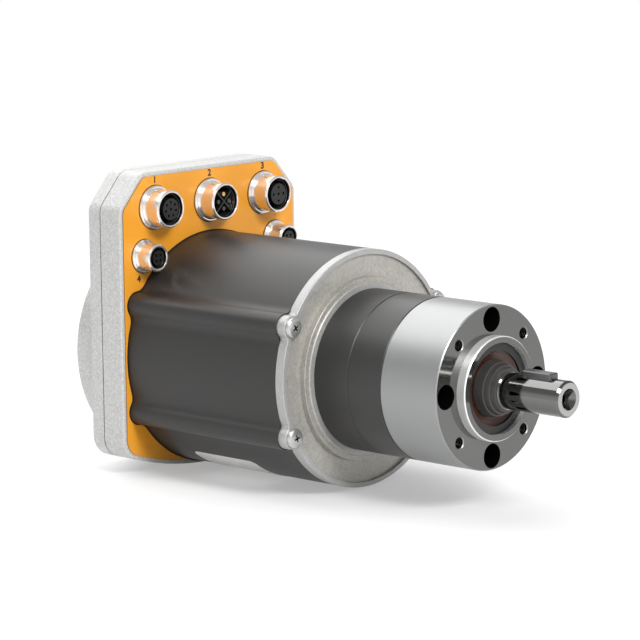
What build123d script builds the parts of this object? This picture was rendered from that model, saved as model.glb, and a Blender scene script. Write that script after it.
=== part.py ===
from build123d import *
from math import acos, cos, degrees, pi, radians, sin, sqrt, tan
import os

# Motor unit with a built-in controller and a planetary gearbox, in millimetres and degrees.
# +X runs out along the output shaft and +Z is up.
# The origin is the centre of the gearbox's mounting face.
# Angles round the shaft start at +Y and turn towards +Z.

os.makedirs("parts", exist_ok=True)

# Running and seating clearances
bush_clearance = 0.04
race_clearance = 0.05
face_gap = 0.4
lip_clearance = 0.08
seat_clearance = 0.02
board_margin = 2.0
edge_break = 0.4
hole_clearance = 0.2
past = 1.0
hex_share = 0.8

# Planetary stage: fixed ring, driven sun, planets carried round
gear_module = 0.9
sun_teeth = 15
planet_teeth = 15
planet_count = 3
pressure_angle = 20.0
root_clearance = 0.25
ring_tooth_height = 0.65
tooth_backlash = 0.05
flank_points = 4
first_planet_angle = 90.0
ring_gear_length = 17.0
planet_inset = 2.2
sun_overrun = 1.5
sun_bore_radius = 4.0
planet_pin_radius = 3.0
planet_bush_wall = 1.0
carrier_plate_thickness = 2.2
pillar_radius = 4.4
carrier_rim = 4.5

# Deep groove ball bearings
output_front_bearing = {"bore": 7.5, "outer": 17.5, "width": 11.0, "ring_wall": 2.6}
output_rear_bearing = {"bore": 8.5, "outer": 17.5, "width": 8.0, "ring_wall": 2.2}
motor_front_bearing = {"bore": 6.0, "outer": 14.0, "width": 8.0, "ring_wall": 2.1}
motor_rear_bearing = {"bore": 4.0, "outer": 11.0, "width": 7.0, "ring_wall": 1.9}
ball_spacing = 1.5
shield_share = 0.05

# Gearbox housings
seal_depth = 2.5
circlip_thickness = 1.5
circlip_groove_depth = 1.0
circlip_depth = 1.6
circlip_opening = 5.0
circlip_eye_radius = 1.8
circlip_eye_hole_radius = 0.8
circlip_eye_spread = 4.2
circlip_eye_rise = 1.0
lip_thickness = 1.8
lip_height = 3.5
carrier_cavity_depth = 3.2
pilot_length = 4.0
pilot_wall = 2.5
pilot_web = 1.3
ring_web = 1.875
outer_web = 0.8
adapter_length = 19.0
adapter_recess_depth = 1.0
adapter_bore_clearance = 2.0

# Fasteners of the gearbox
gearbox_screw_radius = 2.5
gearbox_screw_hole_radius = 2.75
gearbox_screw_length = 45.0
gearbox_head_radius = 4.25
gearbox_head_height = 5.0
counterbore_radius = 4.7
counterbore_depth = 14.0
tapped_core_radius = 2.1
tapped_depth = 12.0
tapped_mouth_radius = 2.5
adapter_screw_radius = 2.0
adapter_head_radius = 3.5
adapter_head_height = 4.0
adapter_screw_bite = 3.2
adapter_screw_shift = 0.8

# Output shaft, key and seals
shaft_radius = 7.0
shaft_reach = 37.4
shaft_chamfer = 0.8
shaft_shoulder_reach = 9.4
shaft_thread_radius = 2.1
shaft_thread_depth = 14.0
shaft_mouth_radius = 4.1
shaft_mouth_angle = 30.0
carrier_hub_step = 2.0
key_width = 5.0
key_height = 5.0
key_depth = 3.0
key_start = 16.5
key_length = 14.0
key_edge = 0.4
key_corner = 0.8
seal_set_back = 1.8
seal_case_wall = 1.0
seal_window_radius = 14.3
seal_rubber = 0.8
seal_dish = ((0.6, 0.86), (0.0, 0.62), (-0.3, 0.29), (-0.6, 0.0))
v_ring_lip_radius = 11.15
v_ring_back = 0.4
v_ring_edge = 0.5
v_ring_steps = ((0.0, 0.6), (0.6, 0.9), (2.4, 1.3), (2.6, 1.9), (4.6, 2.4), (4.8, 2.8))
v_ring_root = ((6.2, 1.0), (6.4, 0.0))

# Motor
motor_radius = 46.5
motor_wall = 3.5
motor_length = 81.4
rib_angle = 27.4
rib_set_in = 0.3
rib_radius = 5.0
rib_blend = 5.0
rib_core_radius = 1.7
flange_plate = 3.9
flange_rim_height = 1.2
flange_rim_width = 1.9
flange_boss_blend = 2.0
flange_rounding = 0.5
flange_lobe_set_in = 0.5
lobe_rim_set_in = 0.3
collar_inner_height = 2.0
collar_inner_width = 2.5
collar_step_height = 1.4
collar_step_width = 2.0
hub_wall = 4.0
hub_lip = 1.5
hub_lip_height = 2.5
flange_screw_head_radius = 3.8
flange_screw_head_height = 2.0
flange_screw_radius = 1.7
flange_screw_bite = 10.0
pan_head_shares = ((0.0, 1.0), (0.6, 1.0), (0.86, 0.9), (1.0, 0.7))
cross_reach = 4.2
cross_width = 1.0
cross_depth = 1.4
stator_set_back = 18.0
stator_length = 38.0
stator_yoke = 5.0
stator_teeth = 12
stator_tooth_width = 6.0
slot_opening = 2.4
tooth_tip_height = 2.2
coil_gap = 0.4
coil_width = 3.0
coil_reach = 5.0
coil_end_gap = 1.0
coil_rounding = 2.4
insulator_thickness = 1.2
air_gap = 0.7
rotor_set_in = 20.0
magnet_thickness = 3.0
magnet_count = 8
magnet_share = 0.9
rotor_hole_radius = 2.6
rotor_hole_count = 6
rotor_shaft_radius = 8.0
shield_plate = 4.0
preload_washer_thickness = 0.8
shield_floor = 1.3
magnet_button_radius = 4.0
magnet_button_length = 3.0
magnet_button_gap = 1.5
phase_pin_radius = 1.2
phase_pin_angles = (240.0, 270.0, 300.0)
phase_pin_circle = 33.0

# Rating label on the underside of the motor
label_thickness = 0.15
label_length = 34.0
label_set_in = 17.2
label_start_angle = -127.5
label_span = 56.0
label_corner = 3.0

# Controller box
side_margin = 2.8
bottom_margin = 0.9
top_margin = 14.2
bottom_arc_radius = 137.0
bottom_corner = 9.0
top_corner_across = 12.0
top_corner_down = 13.5
top_corner_rounding = 6.0
film_thickness = 0.4
film_inset = 1.6
film_clearance = 0.5
box_wall = 3.0
shell_depth = 10.95
gasket_thickness = 0.5
cover_depth = 7.45
cover_wall = 2.5
cover_rounding = 2.2
housing_rounding = 0.8
boss_margin = 0.8
boss_height = 11.3
boss_taper = 0.7
boss_wall = 3.0
boss_rounding = 2.0
post_radius = 3.2
cover_screw_radius = 1.5
cover_screw_head_radius = 2.75
cover_screw_head_height = 2.0
cover_screw_bite = 6.0
side_post_inset = 5.5
side_post_drop = 18.7
top_post_drop = 5.5
bottom_post_inset = 7.0
bottom_post_rise = 15.0
housing_screw_head_radius = 3.2
housing_screw_head_height = 2.6
board_set_back = 4.7
board_thickness = 1.6
board_post_radius = 2.8
board_screw_radius = 1.4
board_screw_head_radius = 2.6
board_screw_head_height = 1.6
board_post_places = ((30.0, 28.0), (30.0, -26.0))
board_window_radius = 15.0
switch_size = (2.3, 6.5, 8.5)
switch_pitch = 9.5
switch_count = 6
switch_row = 22.0
choke_size = (5.5, 13.0, 13.0)
choke_place = (-24.0, 44.0)
processor_size = (1.4, 14.0, 14.0)
processor_place = (12.0, 42.0)
capacitor_radius = 6.2
capacitor_height = 16.5
capacitor_count = 4
capacitor_pitch = 15.0
capacitor_row = -16.0
encoder_hole_radius = 9.5
encoder_board_radius = 16.0
encoder_board_thickness = 1.5
encoder_post_circle = 13.0
encoder_post_count = 3
encoder_post_radius = 2.0
encoder_peg_radius = 1.0
sensor_gap = 0.8
sensor_size = 5.0
sensor_height = 1.0

# Sockets on the front plate, for round plugs of 12 mm and 8 mm
large_socket = {
    "base": 8.75, "base_length": 1.3, "sleeve": 7.25, "rim": 7.45, "rim_length": 2.0, "bore": 6.2,
    "tail": 8.0, "insert": 4.3, "insert_root": 5.9, "nut": 10.0, "reach": 9.2,
}
small_socket = {
    "base": 6.7, "base_length": 1.3, "sleeve": 5.3, "rim": 5.45, "rim_length": 2.0, "bore": 4.1,
    "tail": 5.0, "insert": 3.0, "insert_root": 4.0, "nut": 7.2, "reach": 8.4,
}
socket_rounding = 0.5
socket_neck = 0.6
socket_rim_slope = 0.3
socket_well_depth = 8.0
socket_nut_height = 3.0
socket_row_clearance = 3.75
large_socket_inset = 19.0
small_socket_inset = 12.5
small_socket_clearance = 1.35
contact_radius = 0.45
contact_play = 0.1
contact_set_back = 1.2
power_pin_radius = 0.85
power_pin_circle = 2.9
power_divider = 0.7
power_divider_set_back = 1.0
signal_contact_circle = 2.8
small_contact_circle = 1.6

# Gear sizes
pitch_radius_sun = gear_module * sun_teeth / 2
pitch_radius_planet = gear_module * planet_teeth / 2
ring_teeth = sun_teeth + 2 * planet_teeth
pitch_radius_ring = gear_module * ring_teeth / 2
planet_circle = pitch_radius_sun + pitch_radius_planet
dedendum = (1 + root_clearance) * gear_module
ring_root_radius = pitch_radius_ring + dedendum
planet_bore_radius = planet_pin_radius + planet_bush_wall + bush_clearance
carrier_radius = planet_circle + carrier_rim

# Radii of the gearbox: the screw circle clears the ring's teeth and the pilot
output_seat_radius = output_front_bearing["outer"]
pilot_radius = output_seat_radius + pilot_wall
face_circle = max(
    ring_root_radius + ring_web + gearbox_screw_hole_radius,
    pilot_radius + pilot_web + counterbore_radius,
)
gearbox_radius = face_circle + counterbore_radius + outer_web
adapter_screw_circle = face_circle + adapter_screw_shift
cavity_radius = ring_root_radius - root_clearance * gear_module - 0.5 * gear_module

# Stations along the shaft, from the mounting face backwards
circlip_front = -seal_depth
output_front_bearing_front = circlip_front - circlip_thickness
output_rear_bearing_front = output_front_bearing_front - output_front_bearing["width"]
lip_front = output_rear_bearing_front - output_rear_bearing["width"]
lip_back = lip_front - lip_thickness
ring_gear_front = lip_back - carrier_cavity_depth
ring_gear_back = ring_gear_front - ring_gear_length
adapter_back = ring_gear_back - adapter_length
flange_back = adapter_back - flange_plate
motor_back = flange_back - motor_length
film_front = motor_back + film_thickness
plate_back = motor_back - box_wall
shell_back = motor_back - shell_depth
cover_front = shell_back - gasket_thickness
cover_back = cover_front - cover_depth
cover_floor = cover_back + cover_wall
boss_back = cover_back - boss_height
boss_floor = boss_back + boss_wall
board_front = plate_back - board_set_back
board_back = board_front - board_thickness

carrier_disc_front = lip_back - face_gap
planet_front = ring_gear_front - planet_inset
carrier_disc_back = planet_front + face_gap
carrier_plate_back = ring_gear_back + face_gap
carrier_plate_front = carrier_plate_back + carrier_plate_thickness
planet_back = carrier_plate_front + face_gap
sun_front = planet_front
sun_back = planet_back - sun_overrun

motor_front_bearing_back = adapter_back - motor_front_bearing["width"]
hub_back = motor_front_bearing_back - hub_lip
hub_radius = motor_front_bearing["outer"] + hub_wall
washer_back = motor_back + shield_floor
motor_rear_bearing_back = washer_back + preload_washer_thickness
motor_rear_bearing_front = motor_rear_bearing_back + motor_rear_bearing["width"]
stator_front = flange_back - stator_set_back
stator_back = stator_front - stator_length
coil_back = stator_back - insulator_thickness - coil_reach
stator_radius = motor_radius - motor_wall
rotor_radius = stator_radius - rotor_set_in
stator_bore_radius = rotor_radius + air_gap
rotor_core_radius = rotor_radius - magnet_thickness
rib_circle = motor_radius - rib_set_in
shaft_shoulder_radius = output_front_bearing["bore"]

# Front plate and the places on it
half_width = motor_radius + side_margin
large_socket_pitch = half_width - large_socket_inset
socket_row = motor_radius + socket_row_clearance + large_socket["base"]
box_top = socket_row + top_margin
box_bottom = -(motor_radius + bottom_margin)
bottom_arc_centre = box_bottom + bottom_arc_radius
bottom_corner_height = bottom_arc_centre - sqrt(bottom_arc_radius**2 - half_width**2)
small_socket_y = half_width - small_socket_inset
small_socket_reach = motor_radius + small_socket_clearance + small_socket["base"]
small_socket_z = sqrt(small_socket_reach**2 - small_socket_y**2)
boss_radius = motor_radius + boss_margin
large_socket_places = [(y, socket_row) for y in (-large_socket_pitch, 0.0, large_socket_pitch)]
small_socket_places = [(y, small_socket_z) for y in (-small_socket_y, small_socket_y)]
sockets = [(large_socket, place) for place in large_socket_places]
sockets += [(small_socket, place) for place in small_socket_places]
rib_places = [
    (side * rib_circle * cos(radians(rib_angle)), level * rib_circle * sin(radians(rib_angle)))
    for side in (-1, 1)
    for level in (-1, 1)
]
post_places = [
    (side * y, z)
    for side in (-1, 1)
    for y, z in (
        (half_width - side_post_inset, box_top - side_post_drop),
        (large_socket_pitch / 2, box_top - top_post_drop),
        (half_width - bottom_post_inset, box_bottom + bottom_post_rise),
    )
]
board_posts = [(side * y, z) for side in (-1, 1) for y, z in board_post_places]


def turned(*corners):
    """Solid turned about the shaft axis from (x, radius) corners."""
    return revolve(Plane.XZ * make_face(Polyline(*corners, close=True)), Axis.X)


def ring(back, front, outer, inner=0.0, edge=0.0):
    """Ring or disc from back to front, with both outer edges broken."""
    if edge == 0:
        return turned((back, inner), (front, inner), (front, outer), (back, outer))
    return turned(
        (back, inner), (front, inner), (front, outer - edge), (front - edge, outer),
        (back + edge, outer), (back, outer - edge),
    )


def rod(back, front, radius, place=(0.0, 0.0)):
    """Cylinder parallel to the shaft through a (y, z) place."""
    seat = Pos(back, place[0], place[1]) * Rot(0, 90, 0)
    return seat * Cylinder(radius, front - back, align=(Align.CENTER, Align.CENTER, Align.MIN))


def hole(back, front, radius, place=(0.0, 0.0)):
    """Cutting rod that runs a little past both stations."""
    return rod(back - past, front + past, radius, place)


def cone(back, front, back_radius, front_radius, place=(0.0, 0.0)):
    """Cone parallel to the shaft through a (y, z) place."""
    seat = Pos(back, place[0], place[1]) * Rot(0, 90, 0)
    centred = (Align.CENTER, Align.CENTER, Align.MIN)
    return seat * Cone(back_radius, front_radius, front - back, align=centred)


def block(back, front, size_y, size_z, place=(0.0, 0.0)):
    """Block parallel to the shaft, centred on a (y, z) place."""
    return Pos((back + front) / 2, place[0], place[1]) * Box(front - back, size_y, size_z)


def slab(sketch, back, front):
    """A (y, z) sketch made solid from back to front."""
    return extrude(Plane.YZ.offset(back) * sketch, front - back, dir=(1, 0, 0))


def polar(radius, angle):
    """The (y, z) place at an angle round the shaft."""
    return (radius * cos(radians(angle)), radius * sin(radians(angle)))


def spread(count, start=0.0):
    """Angles of evenly spaced copies round the shaft."""
    return [start + 360.0 * k / count for k in range(count)]


def cut(body, tools):
    """The body with each tool taken away."""
    for tool in tools:
        body = body - tool
    return body


def join(body, pieces):
    """The body with each piece fused on."""
    for piece in pieces:
        body = body + piece
    return body


def involute(angle):
    """Involute function of an angle in radians."""
    return tan(angle) - angle


def gear_outline(teeth, tip_radius, root_radius, thinning, first_tooth):
    """Closed outline of involute teeth, one of them centred on first_tooth."""
    pitch_radius = gear_module * teeth / 2
    base_radius = pitch_radius * cos(radians(pressure_angle))
    half_tooth = pi / (2 * teeth) - thinning / (2 * pitch_radius)
    start_radius = max(base_radius, root_radius)
    steps = range(flank_points)
    radii = [start_radius + (tip_radius - start_radius) * k / (flank_points - 1) for k in steps]

    def half_angle(radius):
        flank = involute(radians(pressure_angle)) - involute(acos(base_radius / radius))
        return degrees(half_tooth + flank)

    rising = [(radius, -half_angle(radius)) for radius in radii]
    if root_radius < base_radius:
        rising = [(root_radius, rising[0][1])] + rising
    falling = [(radius, -angle) for radius, angle in reversed(rising)]
    corners = [
        polar(radius, angle + centre)
        for centre in spread(teeth, first_tooth)
        for radius, angle in rising + falling
    ]
    return make_face(Polyline(*corners, close=True))


def toothed_wheel(back, front, teeth, bore, place=(0.0, 0.0)):
    """External gear with a round bore, one tooth pointing up."""
    pitch_radius = gear_module * teeth / 2
    outline = gear_outline(
        teeth, pitch_radius + gear_module, pitch_radius - dedendum, tooth_backlash, first_planet_angle
    )
    return Pos(0, place[0], place[1]) * slab(outline - Circle(bore), back, front)


def bearing_rings(size, back):
    """Outer and inner ring of a ball bearing, each with its shallow race."""
    front = back + size["width"]
    middle = (back + front) / 2
    outer_face = size["outer"] - size["ring_wall"]
    inner_face = size["bore"] + size["ring_wall"]
    dip = size["ring_wall"] / 3
    reach = size["width"] / 4
    outer = turned(
        (back, outer_face), (middle - reach, outer_face), (middle, outer_face + dip),
        (middle + reach, outer_face), (front, outer_face), (front, size["outer"]), (back, size["outer"]),
    )
    inner = turned(
        (back, inner_face), (middle - reach, inner_face), (middle, inner_face - dip),
        (middle + reach, inner_face), (front, inner_face), (front, size["bore"]), (back, size["bore"]),
    )
    return outer, inner


def bearing_balls(size, back):
    """Balls that run in both races, a race clearance away from each."""
    half_gap = (size["outer"] - size["bore"]) / 2 - size["ring_wall"]
    dip = size["ring_wall"] / 3
    reach = size["width"] / 4
    radius = (half_gap + dip) * reach / sqrt(dip**2 + reach**2) - race_clearance
    circle = (size["outer"] + size["bore"]) / 2
    count = int(2 * pi * circle / (2 * radius * ball_spacing))
    middle = back + size["width"] / 2
    return [Pos(middle, *polar(circle, angle)) * Sphere(radius) for angle in spread(count)]


def bearing_shields(size, back):
    """The two thin shields that close a bearing, held in its outer ring."""
    outer_face = size["outer"] - size["ring_wall"]
    inner_face = size["bore"] + size["ring_wall"]
    recess = shield_share * size["width"]
    thickness = recess
    front = back + size["width"]
    return [
        ring(back + recess, back + recess + thickness, outer_face, inner_face + lip_clearance),
        ring(front - recess - thickness, front - recess, outer_face, inner_face + lip_clearance),
    ]


def cap_screw(head_back, length, radius, head_radius, head_height, place):
    """Socket head screw whose head lies in front of head_back."""
    head_front = head_back + head_height
    head = Pos(0, *place) * ring(head_back, head_front, head_radius, 0.0, edge_break)
    body = rod(head_back - length, head_back, radius, place) + head
    socket = RegularPolygon(hex_share * radius, 6, major_radius=False)
    drive = Pos(0, place[0], place[1]) * slab(socket, head_front - head_height / 2, head_front + past)
    return body - drive


def box_outline():
    """Outline of the controller box: bevelled top corners and a bottom edge that bows down."""
    top_y = half_width - top_corner_across
    bevel_z = box_top - top_corner_down
    sides = Polyline(
        (half_width, bottom_corner_height), (half_width, bevel_z), (top_y, box_top),
        (-top_y, box_top), (-half_width, bevel_z), (-half_width, bottom_corner_height),
    )
    bottom = ThreePointArc(
        (-half_width, bottom_corner_height), (0, box_bottom), (half_width, bottom_corner_height)
    )
    outline = make_face([*sides.edges(), bottom])
    low = [corner for corner in outline.vertices() if corner.Y < bottom_corner_height + 1]
    outline = fillet(low, bottom_corner)
    high = [corner for corner in outline.vertices() if corner.Y > bevel_z - 1]
    return fillet(high, top_corner_rounding)


def inset_outline(distance):
    """The box outline drawn in by a distance."""
    return offset(box_outline(), -distance)


def motor_outline(radius, boss_radius_at_rib, blend):
    """Round outline with a rounded lobe at each of the four screw ribs."""
    outline = Circle(radius)
    for y, z in rib_places:
        outline += Pos(y, z) * Circle(boss_radius_at_rib)
    return fillet(outline.vertices(), blend)


def make_output_housing():
    """Bright front housing: pilot, bearing seats, counterbores and tapped holes."""
    body = turned(
        (pilot_length, output_seat_radius), (pilot_length, pilot_radius - edge_break),
        (pilot_length - edge_break, pilot_radius), (0, pilot_radius),
        (0, gearbox_radius - edge_break), (-edge_break, gearbox_radius),
        (ring_gear_front + edge_break, gearbox_radius), (ring_gear_front, gearbox_radius - edge_break),
        (ring_gear_front, cavity_radius), (lip_back, cavity_radius),
        (lip_back, output_seat_radius - lip_height), (lip_front, output_seat_radius - lip_height),
        (lip_front, output_seat_radius),
    )
    groove = ring(
        output_front_bearing_front, circlip_front, output_seat_radius + circlip_groove_depth,
        output_seat_radius - edge_break,
    )
    tools = [groove]
    for angle in spread(4):
        place = polar(face_circle, angle)
        tools.append(rod(-counterbore_depth, edge_break, counterbore_radius, place))
        tools.append(rod(ring_gear_front - past, 0, gearbox_screw_hole_radius, place))
    for angle in spread(4, 45.0):
        place = polar(face_circle, angle)
        mouth_depth = tapped_mouth_radius - tapped_core_radius
        tools.append(rod(-tapped_depth, edge_break, tapped_core_radius, place))
        tools.append(cone(-mouth_depth, 0, tapped_core_radius, tapped_mouth_radius, place))
    return cut(body, tools)


def make_ring_gear():
    """Fixed internal gear, clamped between the housings."""
    body = ring(ring_gear_back, ring_gear_front, gearbox_radius, 0.0, edge_break)
    tip = pitch_radius_ring + dedendum
    root = pitch_radius_ring - ring_tooth_height * gear_module
    space = gear_outline(ring_teeth, tip, root, -tooth_backlash, first_planet_angle)
    holes = [
        hole(ring_gear_back, ring_gear_front, gearbox_screw_hole_radius, polar(face_circle, angle))
        for angle in spread(4)
    ]
    return cut(body - slab(space, ring_gear_back - past, ring_gear_front + past), holes)


adapter_head_seat = ring_gear_back - adapter_head_height - face_gap


def make_adapter():
    """Dark adapter between the gearbox and the motor flange."""
    recess_radius = ring_root_radius
    bore = pitch_radius_sun + adapter_bore_clearance
    body = turned(
        (adapter_back, bore), (ring_gear_back - adapter_recess_depth, bore),
        (ring_gear_back - adapter_recess_depth, recess_radius), (ring_gear_back, recess_radius),
        (ring_gear_back, gearbox_radius - edge_break), (ring_gear_back - edge_break, gearbox_radius),
        (adapter_back + edge_break, gearbox_radius), (adapter_back, gearbox_radius - edge_break),
    )
    tools = []
    for angle in spread(4):
        screw_end = -counterbore_depth - gearbox_screw_length
        place = polar(face_circle, angle)
        tools.append(rod(screw_end - past, ring_gear_back + past, gearbox_screw_radius, place))
    for angle in spread(4, 45.0):
        place = polar(adapter_screw_circle, angle)
        hole_radius = adapter_screw_radius + hole_clearance
        seat_radius = adapter_head_radius + hole_clearance
        tools.append(rod(adapter_back - past, ring_gear_back + past, hole_radius, place))
        tools.append(rod(adapter_head_seat, ring_gear_back + past, seat_radius, place))
    return cut(body, tools)


def make_gearbox_screws():
    """Four screws that clamp the whole gearbox together from the front."""
    return [
        cap_screw(
            -counterbore_depth, gearbox_screw_length, gearbox_screw_radius, gearbox_head_radius,
            gearbox_head_height, polar(face_circle, angle),
        )
        for angle in spread(4)
    ]


def make_adapter_screws():
    """Four screws from the adapter into the motor flange, covered by the ring gear."""
    length = adapter_head_seat - adapter_back + adapter_screw_bite
    return [
        cap_screw(
            adapter_head_seat, length, adapter_screw_radius, adapter_head_radius,
            adapter_head_height, polar(adapter_screw_circle, angle),
        )
        for angle in spread(4, 45.0)
    ]


seal_front = pilot_length - seal_set_back


def make_seal_case():
    """Dark ring pressed into the pilot bore, with an inward face."""
    inner = output_seat_radius - seal_case_wall
    face_back = seal_front - seal_case_wall
    return turned(
        (circlip_front, inner), (face_back, inner), (face_back, seal_window_radius),
        (seal_front, seal_window_radius), (seal_front, output_seat_radius),
        (circlip_front, output_seat_radius),
    )


def make_shaft_seal():
    """Brown rubber seal that dishes back to a lip on the shaft."""
    outer = output_seat_radius - seal_case_wall
    front = seal_front - seal_case_wall
    lip = shaft_shoulder_radius + lip_clearance
    dish = [(x, lip + share * (seal_window_radius - lip)) for x, share in seal_dish]
    dish_back = [(x - seal_rubber, radius) for x, radius in reversed(dish)]
    return turned(
        (circlip_front, outer), (front, outer), (front, seal_window_radius),
        *dish, *dish_back, (circlip_front, seal_window_radius),
    )


def make_circlip():
    """Open ring with two eyes that holds the output bearings."""
    outer = output_seat_radius + circlip_groove_depth
    inner = output_seat_radius - circlip_depth
    body = ring(output_front_bearing_front, circlip_front, outer, inner)
    body = body - block(output_front_bearing_front, circlip_front, circlip_opening, inner, (0, -outer))
    for side in (-1, 1):
        place = (side * circlip_eye_spread, circlip_eye_rise - inner)
        eye = rod(output_front_bearing_front, circlip_front, circlip_eye_radius, place)
        hole = rod(output_front_bearing_front, circlip_front, circlip_eye_hole_radius, place)
        body = body + eye - hole
    return body


def key_space():
    """Block that the key fills in the shaft and above it."""
    middle = shaft_radius - key_depth + key_height / 2
    return block(key_start, key_start + key_length, key_width, key_height, (0, middle))


def make_output_shaft():
    """Stepped and keyed shaft in one piece with the front disc and pillars of the planet carrier."""
    rear_seat = output_rear_bearing["bore"]
    hub = rear_seat + carrier_hub_step
    body = turned(
        (carrier_disc_back, 0), (carrier_disc_back, carrier_radius),
        (carrier_disc_front, carrier_radius), (carrier_disc_front, hub),
        (lip_front, hub), (lip_front, rear_seat), (output_rear_bearing_front, rear_seat),
        (output_rear_bearing_front, shaft_shoulder_radius),
        (shaft_shoulder_reach - edge_break, shaft_shoulder_radius),
        (shaft_shoulder_reach, shaft_shoulder_radius - edge_break),
        (shaft_shoulder_reach, shaft_radius), (shaft_reach - shaft_chamfer, shaft_radius),
        (shaft_reach, shaft_radius - shaft_chamfer), (shaft_reach, 0),
    )
    pillars = [
        rod(carrier_plate_front, carrier_disc_back + past, pillar_radius, polar(planet_circle, angle))
        for angle in spread(planet_count, first_planet_angle + 180.0 / planet_count)
    ]
    pin_holes = [
        hole(carrier_disc_back, carrier_disc_front, planet_pin_radius, polar(planet_circle, angle))
        for angle in spread(planet_count, first_planet_angle)
    ]
    mouth_depth = (shaft_mouth_radius - shaft_thread_radius) / tan(radians(shaft_mouth_angle))
    thread = rod(shaft_reach - shaft_thread_depth, shaft_reach + past, shaft_thread_radius)
    mouth = cone(shaft_reach - mouth_depth, shaft_reach, shaft_thread_radius, shaft_mouth_radius)
    return cut(join(body, pillars), pin_holes + [key_space(), thread, mouth])


def make_carrier_plate():
    """Rear plate of the planet carrier, seated on the pillars."""
    body = ring(carrier_plate_back, carrier_plate_front, carrier_radius, pitch_radius_sun + 2 * gear_module)
    holes = [
        hole(carrier_plate_back, carrier_plate_front, planet_pin_radius, polar(planet_circle, angle))
        for angle in spread(planet_count, first_planet_angle)
    ]
    return cut(body, holes)


def make_planet_pins():
    """Ground pins pressed through both sides of the carrier."""
    front = carrier_disc_front - edge_break
    return [
        rod(carrier_plate_back, front, planet_pin_radius, polar(planet_circle, angle))
        for angle in spread(planet_count, first_planet_angle)
    ]


def make_planet_bushes():
    """Bronze sleeves on the pins, on which the planets turn."""
    half_gap = face_gap / 2
    outer = planet_pin_radius + planet_bush_wall
    bush = ring(planet_back - half_gap, planet_front + half_gap, outer, planet_pin_radius)
    return [Pos(0, *polar(planet_circle, angle)) * bush for angle in spread(planet_count, first_planet_angle)]


def make_key():
    """Parallel key with rounded corners, its top standing out of the shaft with its edges broken."""
    key = fillet(key_space().edges().filter_by(Axis.Z), key_corner)
    return chamfer(key.edges().group_by(Axis.Z)[-1], key_edge)


def make_v_ring():
    """Soft dust ring on the shaft, a stepped cone that opens towards the gearbox."""
    nose = shaft_shoulder_reach - edge_break
    seat = shaft_shoulder_radius
    steps = [(nose - back, seat + rise) for back, rise in v_ring_steps]
    root = [(nose - back, seat + rise) for back, rise in v_ring_root]
    lip = [(v_ring_back, v_ring_lip_radius), (v_ring_back, v_ring_lip_radius - v_ring_edge)]
    return turned((nose, seat), *steps, *lip, *root)


def make_motor_flange():
    """Cast front flange: four screw lobes, raised rim, two collar rings and the bearing hub."""
    outline = motor_outline(motor_radius, rib_radius - flange_lobe_set_in, flange_boss_blend)
    face = adapter_back - flange_rim_height
    body = slab(outline, flange_back, adapter_back)
    front_edges = body.edges().filter_by(lambda edge: edge.center().X > adapter_back - 0.01)
    body = fillet(front_edges, flange_rounding)
    collar_face = adapter_back + collar_inner_height
    step_face = adapter_back + collar_step_height
    collar_radius = gearbox_radius + collar_inner_width
    step_radius = collar_radius + collar_step_width
    pocket = ring(face, adapter_back + past, motor_radius - flange_rim_width, step_radius)
    for place in rib_places:
        pocket = pocket - rod(face, adapter_back + past, rib_radius - lobe_rim_set_in, place)
    body = body - pocket
    inner = gearbox_radius - past
    body = body + ring(adapter_back - past, step_face, step_radius, inner, edge_break / 2)
    body = body + ring(adapter_back - past, collar_face, collar_radius, inner, edge_break)
    body = body - rod(adapter_back, collar_face + past, gearbox_radius + seat_clearance)
    body = body + ring(hub_back, flange_back + past, hub_radius)
    body = body - rod(motor_front_bearing_back, adapter_back + past, motor_front_bearing["outer"])
    body = body - rod(hub_back - past, adapter_back, motor_front_bearing["outer"] - hub_lip_height)
    hole_radius = flange_screw_radius + hole_clearance
    holes = [hole(flange_back, adapter_back, hole_radius, place) for place in rib_places]
    for angle in spread(4, 45.0):
        place = polar(adapter_screw_circle, angle)
        holes.append(rod(adapter_back - adapter_screw_bite, adapter_back + past, adapter_screw_radius, place))
    return cut(body, holes)


def make_flange_screws():
    """Pan head screws with a cross recess, one in each lobe of the flange."""
    seat = adapter_back
    top = seat + flange_screw_head_height
    length = seat - flange_back + flange_screw_bite
    screws = []
    for place in rib_places:
        profile = [
            (seat + up * flange_screw_head_height, out * flange_screw_head_radius)
            for up, out in pan_head_shares
        ]
        head = Pos(0, *place) * turned((seat, 0), *profile, (top, 0))
        shank = rod(seat - length, seat, flange_screw_radius, place)
        screw = head + shank
        screw = screw - block(top - cross_depth, top + past, cross_reach, cross_width, place)
        screws.append(screw - block(top - cross_depth, top + past, cross_width, cross_reach, place))
    return screws


def make_motor_housing():
    """Extruded tube with four outside ribs that carry the screw channels."""
    outline = motor_outline(motor_radius, rib_radius, rib_blend)
    bore = Circle(stator_radius)
    channels = Sketch() + [Pos(y, z) * Circle(rib_core_radius) for y, z in rib_places]
    return slab(outline - bore - channels, motor_back, flange_back)


def stator_face():
    """Cross section of the stator stack: yoke, teeth and tooth tips."""
    yoke_inner = stator_radius - stator_yoke
    tooth_length = yoke_inner + past - stator_bore_radius
    middle = stator_bore_radius + tooth_length / 2
    face = Circle(stator_radius) - Circle(yoke_inner)
    tips = Circle(stator_bore_radius + tooth_tip_height) - Circle(stator_bore_radius)
    for angle in spread(stator_teeth, 90.0):
        face += Rot(0, 0, angle) * Pos(middle, 0) * Rectangle(tooth_length, stator_tooth_width)
        half_slot = angle + 180.0 / stator_teeth
        slot = Rectangle(3 * tooth_tip_height, slot_opening)
        tips -= Rot(0, 0, half_slot) * Pos(stator_bore_radius, 0) * slot
    return face + tips - Circle(stator_bore_radius)


def make_stator_core():
    """Laminated stator stack pressed into the motor housing."""
    return slab(stator_face(), stator_back, stator_front)


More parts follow.
